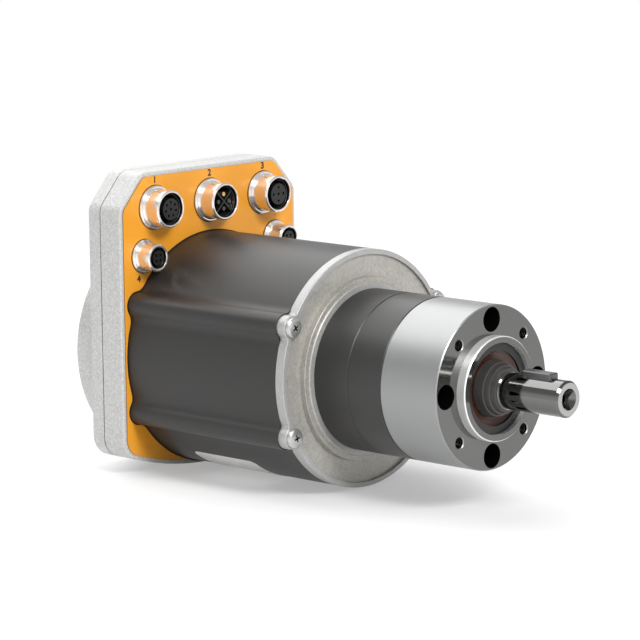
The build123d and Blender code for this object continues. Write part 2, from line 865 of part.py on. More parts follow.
def make_stator_insulators():
    """Plastic end frames on both ends of the stack."""
    frame = stator_face() - (Circle(stator_radius + past) - Circle(stator_radius - stator_yoke / 2))
    return [
        slab(frame, stator_front, stator_front + insulator_thickness),
        slab(frame, stator_back - insulator_thickness, stator_back),
    ]


def make_stator_windings():
    """One copper coil wound round each stator tooth."""
    length = stator_length + 2 * insulator_thickness
    inner_half = stator_tooth_width / 2 + coil_gap
    centre = (stator_front + stator_back) / 2
    low = stator_bore_radius + tooth_tip_height + coil_end_gap
    high = stator_radius - stator_yoke - coil_end_gap
    coil = Box(length + 2 * coil_reach, 2 * (inner_half + coil_width), high - low)
    coil = fillet(coil.edges().filter_by(Axis.Z), coil_rounding)
    coil = coil - Box(length, 2 * inner_half, high - low + past)
    return [Rot(angle, 0, 0) * Pos(centre, 0, (low + high) / 2) * coil for angle in spread(stator_teeth)]


def make_rotor_shaft():
    """Motor shaft: nose for the sun gear, two bearing seats and the magnet end."""
    front_seat = motor_front_bearing["bore"]
    rear_seat = motor_rear_bearing["bore"]
    return turned(
        (motor_back + shield_floor / 2, 0), (motor_back + shield_floor / 2, rear_seat),
        (motor_rear_bearing_front, rear_seat), (motor_rear_bearing_front, rotor_shaft_radius),
        (motor_front_bearing_back, rotor_shaft_radius), (motor_front_bearing_back, front_seat),
        (sun_back, front_seat), (sun_back, sun_bore_radius), (sun_front, sun_bore_radius), (sun_front, 0),
    )


def make_rotor_core():
    """Laminated rotor stack with a circle of holes that save weight."""
    body = ring(stator_back, stator_front, rotor_core_radius, rotor_shaft_radius)
    hole_circle = (rotor_core_radius + rotor_shaft_radius) / 2
    holes = [
        rod(stator_back - past, stator_front + past, rotor_hole_radius, polar(hole_circle, angle))
        for angle in spread(rotor_hole_count)
    ]
    return cut(body, holes)


def make_rotor_magnets():
    """Arc magnets glued round the rotor stack."""
    band = ring(stator_back, stator_front, rotor_radius, rotor_core_radius)
    gap_width = 2 * pi * rotor_radius / magnet_count * (1 - magnet_share)
    length = 3 * rotor_radius
    for angle in spread(magnet_count)[: magnet_count // 2]:
        bar = block(stator_back - past, stator_front + past, length, gap_width)
        band = band - Rot(angle, 0, 0) * bar
    return band.solids()


def make_rear_shield():
    """Rear end shield of the motor with its bearing seat."""
    seat = motor_rear_bearing["outer"]
    hub = seat + hub_wall
    window = magnet_button_radius + magnet_button_gap
    body = turned(
        (motor_back, window), (washer_back, window), (washer_back, seat),
        (motor_rear_bearing_front, seat), (motor_rear_bearing_front, hub),
        (motor_back + shield_plate, hub), (motor_back + shield_plate, stator_radius),
        (motor_back, stator_radius),
    )
    holes = [
        hole(motor_back, motor_back + shield_plate, 2 * phase_pin_radius, polar(phase_pin_circle, angle))
        for angle in phase_pin_angles
    ]
    return cut(body, holes)


def make_preload_washer():
    """Spring washer, pressed flat, that loads the rear bearing."""
    outer = motor_rear_bearing["outer"]
    return ring(washer_back, motor_rear_bearing_back, outer, outer - motor_rear_bearing["ring_wall"])


def make_magnet_button():
    """Two-pole magnet on the end of the motor shaft, read by the encoder."""
    front = motor_back + shield_floor / 2
    return ring(front - magnet_button_length, front, magnet_button_radius, 0.0, edge_break)


def make_phase_pins():
    """Copper pins from the windings to the controller board."""
    return [
        rod(board_front, coil_back, phase_pin_radius, polar(phase_pin_circle, angle))
        for angle in phase_pin_angles
    ]


def make_label():
    """Thin blank label bent round the underside of the motor."""
    back = motor_back + label_set_in
    sleeve = ring(back, back + label_length, motor_radius + label_thickness, motor_radius)
    half = label_span / 2
    middle = label_start_angle + half
    reach = 2 * motor_radius
    corners = [polar(reach, middle + turn) for turn in (-half, 0, half)]
    wedge = make_face(Polyline((0, 0), *corners, close=True))
    label = sleeve & slab(wedge, back - past, back + label_length + past)
    corner_edges = [
        edge for edge in label.edges()
        if abs(edge.length - label_thickness) < label_thickness / 10 and edge.geom_type == GeomType.LINE
    ]
    return fillet(corner_edges, label_corner)


def make_controller_housing():
    """Front half of the controller box: the plate that carries the motor and the sockets."""
    outline = box_outline()
    body = slab(outline, shell_back, motor_back)
    rim = body.edges().filter_by(lambda edge: edge.center().X > motor_back - 0.01)
    body = fillet(rim, housing_rounding)
    body = body - slab(inset_outline(box_wall), shell_back - past, plate_back)
    posts = [rod(shell_back, plate_back + past, post_radius, place) for place in post_places]
    posts += [rod(board_front, plate_back + past, board_post_radius, place) for place in board_posts]
    sensor_face = motor_back + shield_floor / 2 - magnet_button_length - sensor_gap
    post_end = sensor_face - sensor_height
    for angle in spread(encoder_post_count, 90.0):
        place = polar(encoder_post_circle, angle)
        posts.append(rod(post_end, plate_back + past, encoder_post_radius, place))
        posts.append(rod(post_end - encoder_board_thickness, plate_back + past, encoder_peg_radius, place))
    body = join(body, posts)
    tools = [hole(plate_back, motor_back, size["tail"], place) for size, place in sockets]
    screw_hole_radius = flange_screw_radius + hole_clearance
    tools += [hole(plate_back, motor_back, screw_hole_radius, place) for place in rib_places]
    tools += [rod(shell_back - past, plate_back, cover_screw_radius, place) for place in post_places]
    tools += [rod(board_front - past, plate_back, board_screw_radius, place) for place in board_posts]
    tools += [
        hole(plate_back, motor_back, 2 * phase_pin_radius, polar(phase_pin_circle, angle))
        for angle in phase_pin_angles
    ]
    tools.append(hole(plate_back, motor_back, encoder_hole_radius))
    return cut(body, tools)


def make_controller_cover():
    """Rear half of the controller box with a large round boss over the capacitors."""
    body = slab(box_outline(), cover_back, cover_front)
    rim = body.edges().filter_by(lambda edge: edge.center().X < cover_back + 0.01)
    body = fillet(rim, cover_rounding)
    boss = turned(
        (boss_back, 0), (boss_back, boss_radius - boss_taper),
        (cover_back + past, boss_radius), (cover_back + past, 0),
    )
    boss_rim = boss.edges().filter_by(lambda edge: abs(edge.center().X - boss_back) < 0.01)
    boss_rim = boss_rim.filter_by(GeomType.CIRCLE)
    boss = fillet(boss_rim, boss_rounding)
    body = body + boss
    body = body - slab(inset_outline(box_wall), cover_floor, cover_front + past)
    body = body - rod(boss_floor, cover_front, boss_radius - boss_taper - boss_wall)
    posts = [rod(cover_floor - past, shell_back, post_radius, place) for place in post_places]
    body = join(body, posts)
    tools = []
    for place in post_places:
        tools.append(rod(cover_back - past, cover_front + past, cover_screw_radius + hole_clearance, place))
        head_floor = cover_back + cover_screw_head_height
        tools.append(rod(cover_back - past, head_floor, cover_screw_head_radius + hole_clearance, place))
    return cut(body, tools)


def make_gasket():
    """Dark gasket along the joint of the box."""
    band = box_outline() - inset_outline(box_wall)
    body = slab(inset_outline(edge_break / 2) & band, cover_front, shell_back)
    return cut(body, [hole(cover_front, shell_back, post_radius, place) for place in post_places])


def make_cover_screws():
    """Screws sunk in the rear cover."""
    head_floor = cover_back + cover_screw_head_height
    screws = []
    for place in post_places:
        shank = rod(head_floor, shell_back + cover_screw_bite, cover_screw_radius, place)
        head = rod(cover_back, head_floor, cover_screw_head_radius, place)
        socket = RegularPolygon(hex_share * cover_screw_radius, 6, major_radius=False)
        drive = Pos(0, *place) * slab(socket, cover_back - past, cover_back + cover_screw_head_height / 2)
        screws.append(shank + head - drive)
    return screws


def make_housing_screws():
    """Screws from inside the controller box into the rear end of the motor ribs."""
    screws = []
    for place in rib_places:
        shank = rod(plate_back, motor_back + flange_screw_bite, flange_screw_radius, place)
        head = rod(plate_back - housing_screw_head_height, plate_back, housing_screw_head_radius, place)
        screws.append(shank + head)
    return screws


def make_main_board():
    """Controller board on its posts, with a window for the encoder."""
    outline = inset_outline(box_wall + board_margin)
    body = slab(outline, board_back, board_front)
    screw_hole_radius = board_screw_radius + hole_clearance
    tools = [hole(board_back, board_front, post_radius + edge_break, place) for place in post_places]
    tools += [hole(board_back, board_front, screw_hole_radius, place) for place in board_posts]
    tools.append(hole(board_back, board_front, board_window_radius))
    return cut(body, tools)


def make_board_screws():
    """Screws that hold the controller board."""
    screws = []
    for place in board_posts:
        shank = rod(board_back, plate_back, board_screw_radius, place)
        head = rod(board_back - board_screw_head_height, board_back, board_screw_head_radius, place)
        screws.append(shank + head)
    return screws


def make_capacitors():
    """Row of capacitors that stand on the board inside the round boss."""
    half_row = (capacitor_count - 1) / 2
    places = [((k - half_row) * capacitor_pitch, capacitor_row) for k in range(capacitor_count)]
    return [rod(board_back - capacitor_height, board_back, capacitor_radius, place) for place in places]


def make_board_components():
    """Power switches, current choke and processor on the back of the board."""
    half_row = (switch_count - 1) / 2
    placed = [(switch_size, ((k - half_row) * switch_pitch, switch_row)) for k in range(switch_count)]
    placed += [(choke_size, choke_place), (processor_size, processor_place)]
    return [
        block(board_back - height, board_back, wide, high, place)
        for (height, wide, high), place in placed
    ]


def make_encoder_board():
    """Small round board with the magnetic sensor over the shaft end."""
    sensor_face = motor_back + shield_floor / 2 - magnet_button_length - sensor_gap
    front = sensor_face - sensor_height
    back = front - encoder_board_thickness
    body = rod(back, front, encoder_board_radius)
    body = body + block(front, sensor_face, sensor_size, sensor_size)
    pegs = [
        rod(back, front, encoder_peg_radius, polar(encoder_post_circle, angle))
        for angle in spread(encoder_post_count, 90.0)
    ]
    return cut(body, pegs)


def socket_shell(size, place):
    """Nickel plated socket shell: base flange, sleeve with a rounded rim and a threaded tail."""
    front = film_front + size["reach"]
    base_front = film_front + size["base_length"]
    rim_back = front - size["rim_length"]
    well = front - socket_well_depth
    tail_back = plate_back - socket_nut_height - edge_break
    shell = turned(
        (tail_back, size["insert_root"]), (well, size["insert_root"]), (well, size["bore"]),
        (front - edge_break, size["bore"]), (front, size["bore"] + edge_break),
        (front, size["rim"] - socket_rounding), (front - socket_rounding, size["rim"]),
        (rim_back, size["rim"]), (rim_back - socket_rim_slope, size["sleeve"]),
        (base_front + socket_neck, size["sleeve"]), (base_front, size["sleeve"] + socket_neck),
        (base_front, size["base"] - socket_rounding), (base_front - socket_rounding, size["base"]),
        (film_front, size["base"]), (film_front, size["tail"]), (tail_back, size["tail"]),
    )
    return Pos(0, *place) * shell


def contact_places(kind):
    """Places of the contacts of a socket, round its own centre."""
    if kind == "eight":
        return [polar(signal_contact_circle, angle) for angle in spread(7, 90.0)] + [(0.0, 0.0)]
    if kind == "five":
        return [polar(signal_contact_circle, angle) for angle in spread(4, 90.0)] + [(0.0, 0.0)]
    return [polar(small_contact_circle, angle) for angle in spread(4, 45.0)]


def at(place, shift):
    """A place moved by a shift."""
    return (place[0] + shift[0], place[1] + shift[1])


def socket_insert(size, place, kind):
    """Black insulator with a duct for each contact."""
    front = film_front + size["reach"] - edge_break / 2
    well = film_front + size["reach"] - socket_well_depth
    back = board_front + edge_break
    body = turned(
        (back, 0), (back, size["insert_root"]), (well, size["insert_root"]), (well, size["insert"]),
        (front, size["insert"]), (front, 0),
    )
    body = Pos(0, *place) * body
    ducts = [
        hole(back, front, contact_radius + contact_play, at(place, shift))
        for shift in contact_places(kind)
    ]
    return cut(body, ducts)


def power_insert(size, place):
    """Insulator of the power socket: a floor with a cross that parts the pins."""
    front = film_front + size["reach"] - power_divider_set_back
    well = film_front + size["reach"] - socket_well_depth
    back = board_front + edge_break
    body = rod(back, well, size["insert_root"], place)
    span = 2 * (size["bore"] - edge_break)
    divider = block(well, front, span, power_divider)
    for angle in (-45, 45):
        body = body + Pos(0, *place) * Rot(angle, 0, 0) * divider
    ducts = [
        hole(back, well, power_pin_radius + contact_play, at(place, shift))
        for shift in power_places()
    ]
    return cut(body, ducts)


def power_places():
    """Places of the power pins, one in each field of the cross."""
    return [polar(power_pin_circle, angle) for angle in spread(4, 90.0)]


def make_large_inserts():
    """Insulators of the three large sockets."""
    left, middle, right = large_socket_places
    return [
        socket_insert(large_socket, left, "eight"),
        power_insert(large_socket, middle),
        socket_insert(large_socket, right, "five"),
    ]


def make_small_inserts():
    """Insulators of the two small sockets."""
    return [socket_insert(small_socket, place, "four") for place in small_socket_places]


def make_contacts():
    """Gold plated contacts from each socket to the board."""
    left, middle, right = large_socket_places
    kinds = [(large_socket, left, "eight"), (large_socket, right, "five")]
    kinds += [(small_socket, spot, "four") for spot in small_socket_places]
    bars = []
    for size, place, kind in kinds:
        front = film_front + size["reach"] - contact_set_back
        for shift in contact_places(kind):
            bars.append(rod(board_front, front, contact_radius, at(place, shift)))
    front = film_front + large_socket["reach"] - contact_set_back
    for shift in power_places():
        bars.append(rod(board_front, front, power_pin_radius, at(middle, shift)))
    return bars


def make_socket_nuts():
    """Hexagon nuts that hold the sockets from inside the plate."""
    nuts = []
    for size, place in sockets:
        face = RegularPolygon(size["nut"], 6) - Circle(size["tail"])
        nuts.append(Pos(0, *place) * slab(face, plate_back - socket_nut_height, plate_back))
    return nuts


def make_front_panel():
    """Orange film on the front plate, cut out round the motor and the sockets."""
    window = motor_outline(motor_radius + film_clearance, rib_radius + film_clearance, rib_blend)
    face = inset_outline(film_inset) - window
    for size, place in sockets:
        face -= Pos(*place) * Circle(size["tail"])
    return slab(face, motor_back, film_front)


bearings = {
    "output_front": (output_front_bearing, output_rear_bearing_front),
    "output_rear": (output_rear_bearing, lip_front),
    "motor_front": (motor_front_bearing, motor_front_bearing_back),
    "motor_rear": (motor_rear_bearing, motor_rear_bearing_back),
}


def bearing_group(side, part):
    """The outer rings, inner rings, shields or balls of the two bearings on one shaft."""
    group = []
    for end in ("front", "rear"):
        size, back = bearings[side + "_" + end]
        outer, inner = bearing_rings(size, back)
        choice = {
            "outer": [outer], "inner": [inner],
            "shields": bearing_shields(size, back), "balls": bearing_balls(size, back),
        }
        group += choice[part]
    return group


nodes = {
    "output_housing": make_output_housing(),
    "ring_gear": make_ring_gear(),
    "gearbox_adapter": make_adapter(),
    "gearbox_screws": make_gearbox_screws(),
    "adapter_screws": make_adapter_screws(),
    "seal_case": make_seal_case(),
    "shaft_seal": make_shaft_seal(),
    "bearing_circlip": make_circlip(),
    "output_bearing_outer_rings": bearing_group("output", "outer"),
    "output_bearing_shields": bearing_group("output", "shields"),
    "output_bearing_inner_rings": bearing_group("output", "inner"),
    "output_bearing_balls": bearing_group("output", "balls"),
    "output_shaft": make_output_shaft(),
    "carrier_plate": make_carrier_plate(),
    "planet_pins": make_planet_pins(),
    "planet_bushes": make_planet_bushes(),
    "shaft_key": make_key(),
    "v_ring": make_v_ring(),
    "motor_flange": make_motor_flange(),
    "flange_screws": make_flange_screws(),
    "motor_housing": make_motor_housing(),
    "stator_core": make_stator_core(),
    "stator_insulators": make_stator_insulators(),
    "stator_windings": make_stator_windings(),
    "rotor_shaft": make_rotor_shaft(),
    "rotor_core": make_rotor_core(),
    "rotor_magnets": make_rotor_magnets(),
    "sun_gear": toothed_wheel(sun_back, sun_front, sun_teeth, sun_bore_radius),
    "encoder_magnet": make_magnet_button(),
    "motor_bearing_outer_rings": bearing_group("motor", "outer"),
    "motor_bearing_shields": bearing_group("motor", "shields"),
    "motor_bearing_inner_rings": bearing_group("motor", "inner"),
    "motor_bearing_balls": bearing_group("motor", "balls"),
    "rear_bearing_shield": make_rear_shield(),
    "bearing_preload_washer": make_preload_washer(),
    "phase_pins": make_phase_pins(),
    "rating_label": make_label(),
    "controller_housing": make_controller_housing(),
    "controller_cover": make_controller_cover(),
    "cover_gasket": make_gasket(),
    "cover_screws": make_cover_screws(),
    "housing_screws": make_housing_screws(),
    "main_board": make_main_board(),
    "board_screws": make_board_screws(),
    "board_components": make_board_components(),
    "power_capacitors": make_capacitors(),
    "encoder_board": make_encoder_board(),
    "front_panel": make_front_panel(),
    "large_socket_inserts": make_large_inserts(),
    "small_socket_inserts": make_small_inserts(),
    "socket_contacts": make_contacts(),
    "socket_nuts": make_socket_nuts(),
}

for name, place in zip(("signal", "power", "bus"), large_socket_places):
    nodes[name + "_socket_shell"] = socket_shell(large_socket, place)
for name, place in zip(("service", "option"), small_socket_places):
    nodes[name + "_socket_shell"] = socket_shell(small_socket, place)

for number, angle in enumerate(spread(planet_count, first_planet_angle), start=1):
    home = polar(planet_circle, angle)
    turn = Pos(0, *home) * Rot(angle - first_planet_angle, 0, 0)
    wheel = toothed_wheel(planet_back, planet_front, planet_teeth, planet_bore_radius)
    nodes[f"planet_gear_{number}"] = turn * wheel

for name, shape in nodes.items():
    pieces = shape if isinstance(shape, list) else [shape]
    solids = [solid for piece in pieces for solid in piece.solids()]
    export_step(Compound(children=solids, label=name), f"parts/{name}.step")
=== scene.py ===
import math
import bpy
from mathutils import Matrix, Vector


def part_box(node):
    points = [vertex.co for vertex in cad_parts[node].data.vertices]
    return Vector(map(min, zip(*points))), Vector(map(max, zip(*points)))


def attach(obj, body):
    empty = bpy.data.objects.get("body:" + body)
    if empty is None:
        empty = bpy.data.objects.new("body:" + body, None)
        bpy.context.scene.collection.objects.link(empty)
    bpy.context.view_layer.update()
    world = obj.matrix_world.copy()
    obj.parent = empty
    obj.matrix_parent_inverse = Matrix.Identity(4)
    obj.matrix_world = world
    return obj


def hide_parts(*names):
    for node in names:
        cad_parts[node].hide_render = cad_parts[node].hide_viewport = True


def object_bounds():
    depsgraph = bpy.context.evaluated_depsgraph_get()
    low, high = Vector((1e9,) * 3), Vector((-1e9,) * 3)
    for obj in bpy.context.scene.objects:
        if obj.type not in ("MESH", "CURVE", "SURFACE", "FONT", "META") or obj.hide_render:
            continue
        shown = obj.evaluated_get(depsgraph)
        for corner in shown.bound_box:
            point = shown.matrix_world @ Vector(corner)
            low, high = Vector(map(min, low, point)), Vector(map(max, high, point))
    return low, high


bl_info = {
    "name": "Motor unit with planetary gearbox",
    "version": (1, 0, 0),
    "blender": (4, 5, 0),
    "location": "View3D > Sidebar > Motor Unit",
    "description": "Dresses a motor, gearbox and controller unit and builds its studio",
    "category": "Object",
}

import bpy
from mathutils import Matrix, Vector

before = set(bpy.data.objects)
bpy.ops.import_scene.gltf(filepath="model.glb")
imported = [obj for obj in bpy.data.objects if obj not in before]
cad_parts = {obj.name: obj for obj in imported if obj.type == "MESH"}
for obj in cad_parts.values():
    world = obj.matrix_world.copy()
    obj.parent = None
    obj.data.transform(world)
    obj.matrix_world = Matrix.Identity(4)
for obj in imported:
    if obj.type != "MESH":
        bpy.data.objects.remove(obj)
cad_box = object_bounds()

# Metres in a millimetre; the lengths below are in millimetres where no comment says metres
MM = 0.001

# Bodies that the added pieces ride on
ROOT = "motor_unit"
OUTPUT = "output"

# Camera: side of the image in pixels, width of the sensor, and end of the view in metres
IMAGE_SIDE = 640
SENSOR_WIDTH = 36.0
CLIP_END = 100

# Floor: radius and centre along X in metres, and shares of the radius between which it fades
FLOOR_RADIUS = 1.0
FLOOR_CENTRE = -0.07
FLOOR_FADE = (0.3, 0.98)
FLOOR_CORNERS = 96

# Rise of a mirrored ray at which the dim ceiling starts, and at which it is full
CEILING_START = 0.06
CEILING_FULL = 0.42

# Lamps, in metres: place and side, and the point that both look at
KEY_LAMP = {"home": (-0.90, 0.10, 1.00), "side": 1.6}
FRONT_LAMP = {"home": (1.02, -0.36, 0.82), "side": 0.40}
LAMP_TARGET = (-0.06, 0, 0)

# Least X part of the normal of a face that looks along the shaft
FACING_LIMIT = 0.9

# Range that most of a noise lies in
NOISE_RANGE = (0.3, 0.7)

# Turned rings: width and depth in metres, and detail
GROOVE = 0.00016
GROOVE_DEPTH = 0.000004
GROOVE_DETAIL = 2.0

# Clouds on cast metal: size in grains, and their share beside the grain
CLOUD_SIZE = 5
CLOUD_SHARE = 0.3

# Radians that a wave texture of scale 1 runs through in a metre
WAVE_RATE = 20

# Distance in metres within which corners of a piece are merged
MERGE_DISTANCE = 0.000002

# Threads: steps in a turn, half a ridge's width as a share of the pitch, its root in the wall as a
# share of its height, and the depth behind the mouth at which it starts
THREAD_STEPS = 20
THREAD_FLANK = 0.38
THREAD_ROOT = 0.1
THREAD_LEAD_IN = 0.8
CENTRE_THREAD = {"radius": 2.1, "pitch": 0.8, "ridge": 0.3, "turns": 9}
FLANGE_THREAD = {"radius": 2.1, "pitch": 0.8, "ridge": 0.3, "turns": 8}
LARGE_THREAD = {"radius": 6.2, "pitch": 1.0, "ridge": 0.35, "turns": 5}
SMALL_THREAD = {"radius": 4.1, "pitch": 1.0, "ridge": 0.3, "turns": 5}

# Depth of the plain mouth before the thread in the shaft
MOUTH_DEPTH = 3.6

# Tapped holes of the mounting face: radius of their circle, and angles in degrees
TAPPED_CIRCLE = 26.0
TAPPED_ANGLES = (45.0, 135.0, 225.0, 315.0)

# Holes painted dark inside as shade: distance from the shaft's axis along Y and Z, and radius
FACE_HOLE_SHADE = ((18.385, 18.385, 2.15), (26.0, 0.0, 4.75), (0.0, 26.0, 4.75))
SOCKET_MOUTH_SHADE = ((30.3, 59.0, 6.4), (0.0, 59.0, 6.4), (36.8, 40.27, 4.3))

# Height below which the gold contacts are painted dark as shade
CONTACT_SHADE_LEVEL = 60.8

# Radius up to which the housing's side is the wall of its centring collar, painted light as a highlight
COLLAR_HIGHLIGHT_REACH = 20.6

# Painted shade in the gap in the film round the motor tube: radius, and half width and half height at
# the screw ribs
TUBE_GAP_SHADE = 47.1
RIB_GAP_SHADE = (46.3, 36.0)

# Screws of the motor flange: circle, angle and place; radii of head and shank, height of the
# head's side, length and width of the cross; steps of the dome inwards and upwards; height of
# the head, and corners round it
RIB_CIRCLE = 46.2
RIB_ANGLE = math.radians(27.4)
RIB_PLACE = (RIB_CIRCLE * math.cos(RIB_ANGLE), RIB_CIRCLE * math.sin(RIB_ANGLE))
FLANGE_SCREW = {"head": 3.8, "side": 1.2, "shank": 1.7, "cross": 4.2, "slot": 1.0}
SCREW_DOME = ((0.22, 0.28), (0.42, 0.24), (0.75, 0.18), (0.95, 0.10))
SCREW_HEIGHT = 2.0
SCREW_CORNERS = 48

# Cross recess: depth from which it is painted dark as shade, length of its cutter in heights of the
# head, and the share of the cutter's width at its floor
RECESS_SHADE_DEPTH = 0.15
RECESS_REACH = 1.3
RECESS_TAPER = 0.45

# Turn from one flange screw to the next, and smoothing of their edges, in degrees
SCREW_TURN = 17.0
SCREW_SMOOTH = 35.0

# Socket seals: corners round the ring and the section, share of the section that they are raised,
# share kept in height, and smoothing in degrees
SEAL_CORNERS = (72, 10)
SEAL_RISE = 0.6
SEAL_HEIGHT = 0.8
SEAL_SMOOTH = 40.0

# Font size as a multiple of a number's height
FONT_SCALE = 1.4

# Radii round the shaft between which the cast flange is bare and bright
FLANGE_BRIGHT = ((31.5, 33.2), (44.6, 53.0))

LARGE_SOCKETS = ("signal_socket_shell", "power_socket_shell", "bus_socket_shell")
SMALL_SOCKETS = ("service_socket_shell", "option_socket_shell")
BEARING_PARTS = ("outer_rings", "inner_rings", "shields", "balls")

# Number printed at each socket, its shift sideways and its side, up or down
SOCKET_NUMBERS = (
    ("signal_socket_shell", "1", 0.0, 1), ("power_socket_shell", "2", 0.0, 1),
    ("bus_socket_shell", "3", 0.0, 1), ("service_socket_shell", "4", -3.0, -1),
    ("option_socket_shell", "5", 3.0, -1),
)


def node_centre(name):
    """Centre of a CAD node's box, in metres."""
    low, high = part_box(name)
    return (low + high) / 2


class FinishSettings(bpy.types.PropertyGroup):
    """Colours and surface values of the unit's finishes."""

    film: bpy.props.FloatVectorProperty(
        name="Front film", description="Colour of the front film", subtype="COLOR", size=3,
        default=(0.79, 0.325, 0.021), min=0, max=1)
    film_edge: bpy.props.FloatVectorProperty(
        name="Film edge", description="Colour of the cut edge of the film", subtype="COLOR", size=3,
        default=(0.20, 0.09, 0.03), min=0, max=1)
    tube: bpy.props.FloatVectorProperty(
        name="Motor tube", description="Coating of the motor tube", subtype="COLOR", size=3,
        default=(0.026, 0.025, 0.024), min=0, max=1)
    box: bpy.props.FloatVectorProperty(
        name="Controller box", description="Coating of the controller box", subtype="COLOR", size=3,
        default=(0.53, 0.53, 0.52), min=0, max=1)
    cast: bpy.props.FloatVectorProperty(
        name="Cast flange", description="Bare cast metal of the flange", subtype="COLOR", size=3,
        default=(0.43, 0.416, 0.382), min=0, max=1)
    bright: bpy.props.FloatVectorProperty(
        name="Bright steel", description="Turned steel of the front housing", subtype="COLOR", size=3,
        default=(0.33, 0.335, 0.335), min=0, max=1)
    # Its tone below the bright steel's is painted shade on the housing's polished front face
    polished: bpy.props.FloatVectorProperty(
        name="Polished steel", description="Polished front face of the housing", subtype="COLOR",
        size=3, default=(0.155, 0.155, 0.150), min=0, max=1)
    oxide: bpy.props.FloatVectorProperty(
        name="Dark steel", description="Oxide coating of the dark gearbox rings", subtype="COLOR",
        size=3, default=(0.048, 0.048, 0.047), min=0, max=1)
    cast_grain: bpy.props.FloatProperty(
        name="Cast grain", description="Size of the grain on cast surfaces", subtype="DISTANCE",
        unit="LENGTH", default=0.0009, min=0.0002, max=0.01)


class PieceSettings(bpy.types.PropertyGroup):
    """Sizes of the pieces that are added to the frame."""

    number_height: bpy.props.FloatProperty(
        name="Number height", description="Height of the numbers beside the sockets",
        subtype="DISTANCE", unit="LENGTH", default=0.0026, min=0.001, max=0.01)
    number_gap: bpy.props.FloatProperty(
        name="Number gap", description="Gap between a number and its socket",
        subtype="DISTANCE", unit="LENGTH", default=0.0008, min=0.0, max=0.01)
    number_stroke: bpy.props.FloatProperty(
        name="Number stroke", description="Width added on each side of the strokes of the numbers",
        subtype="DISTANCE", unit="LENGTH", default=0.00015, min=0.0, max=0.001)
    print_thickness: bpy.props.FloatProperty(
        name="Print thickness", description="Thickness of the printed numbers",
        subtype="DISTANCE", unit="LENGTH", default=0.00004, min=0.00001, max=0.001)
    seal_radius: bpy.props.FloatProperty(
        name="Seal section", description="Radius of the section of the socket seals",
        subtype="DISTANCE", unit="LENGTH", default=0.00022, min=0.0001, max=0.002)


class StageSettings(bpy.types.PropertyGroup):
    """Camera, floor and lamps."""

    azimuth: bpy.props.FloatProperty(
        name="Azimuth", description="Camera angle round the unit", subtype="ANGLE", unit="ROTATION",
        default=math.radians(43.66))
    elevation: bpy.props.FloatProperty(
        name="Elevation", description="Camera angle above the horizon", subtype="ANGLE",
        unit="ROTATION", default=math.radians(9.29))
    roll: bpy.props.FloatProperty(
        name="Roll", description="Camera roll", subtype="ANGLE", unit="ROTATION",
        default=math.radians(-0.64))
    distance: bpy.props.FloatProperty(
        name="Distance", description="Distance of the camera", subtype="DISTANCE", unit="LENGTH",
        default=1.33273, min=0.1)
    across: bpy.props.FloatProperty(
        name="Across", description="Camera offset to its right", subtype="DISTANCE", unit="LENGTH",
        default=-0.06439)
    upward: bpy.props.FloatProperty(
        name="Upward", description="Camera offset upwards", subtype="DISTANCE", unit="LENGTH",
        default=0.02541)
    focal_pixels: bpy.props.FloatProperty(
        name="Focal length", description="Focal length in pixels of the square image",
        default=3557.03, min=100)
    floor: bpy.props.FloatVectorProperty(
        name="Floor", description="Colour of the floor", subtype="COLOR", size=3,
        default=(0.90, 0.90, 0.90), min=0, max=1)
    floor_glow: bpy.props.FloatProperty(
        name="Floor white", description="Share of plain white in the floor as it is seen", default=0.35,
        min=0, max=1)
    key_power: bpy.props.FloatProperty(
        name="Key lamp", description="Power of the large lamp above", unit="POWER", default=20.0, min=0)
    front_power: bpy.props.FloatProperty(
        name="Front lamp", description="Power of the lamp before the shaft", unit="POWER",
        default=15.5, min=0)
    world_strength: bpy.props.FloatProperty(
        name="Room light", description="Strength of the even light of the room", default=0.48, min=0)
    ceiling_strength: bpy.props.FloatProperty(
        name="Ceiling", description="Strength of the dim ceiling that metal mirrors", default=0.45,
        min=0)


def new_material(name):
    """Empty node material with its shader and output, and the object coordinates."""
    material = bpy.data.materials.new(name)
    material.use_nodes = True
    nodes, links = material.node_tree.nodes, material.node_tree.links
    nodes.clear()
    shader = nodes.new("ShaderNodeBsdfPrincipled")
    output = nodes.new("ShaderNodeOutputMaterial")
    links.new(shader.outputs["BSDF"], output.inputs["Surface"])
    place = nodes.new("ShaderNodeTexCoord")
    return material, nodes, links, shader, place


def noise(nodes, links, source, grain, detail=3.0):
    """Noise whose grain is a length in metres."""
    node = nodes.new("ShaderNodeTexNoise")
    node.inputs["Scale"].default_value = 1 / grain
    node.inputs["Detail"].default_value = detail
    links.new(source, node.inputs["Vector"])
    return node.outputs["Fac"]


def feed(links, value, socket):
    """Puts a number on a socket, or links a node value to it."""
    if isinstance(value, float):
        socket.default_value = value
    else:
        links.new(value, socket)


def ranged(nodes, links, value, source, target, smooth=False):
    """Maps a node value from one range onto another."""
    node = nodes.new("ShaderNodeMapRange")
    labels = ("From Min", "From Max", "To Min", "To Max")
    for label, number in zip(labels, (*source, *target)):
        node.inputs[label].default_value = number
    if smooth:
        node.interpolation_type = "SMOOTHSTEP"
    links.new(value, node.inputs["Value"])
    return node.outputs["Result"]


def spread_value(nodes, links, factor, low, high):
    """Maps a noise onto a range."""
    return ranged(nodes, links, factor, NOISE_RANGE, (low, high))


def tint(nodes, links, factor, dark, light):
    """Colour that runs from dark to light with a factor."""
    ramp = nodes.new("ShaderNodeValToRGB")
    for element, position, colour in zip(ramp.color_ramp.elements, NOISE_RANGE, (dark, light)):
        element.position = position
        element.color = (*colour, 1)
    links.new(factor, ramp.inputs["Fac"])
    return ramp.outputs["Color"]


def bump(nodes, links, shader, height, strength, depth):
    """Bump of a depth in metres."""
    node = nodes.new("ShaderNodeBump")
    node.inputs["Strength"].default_value = strength
    node.inputs["Distance"].default_value = depth
    links.new(height, node.inputs["Height"])
    links.new(node.outputs["Normal"], shader.inputs["Normal"])


def shade(colour, factor):
    """A colour made lighter or darker."""
    return tuple(min(1.0, channel * factor) for channel in colour)


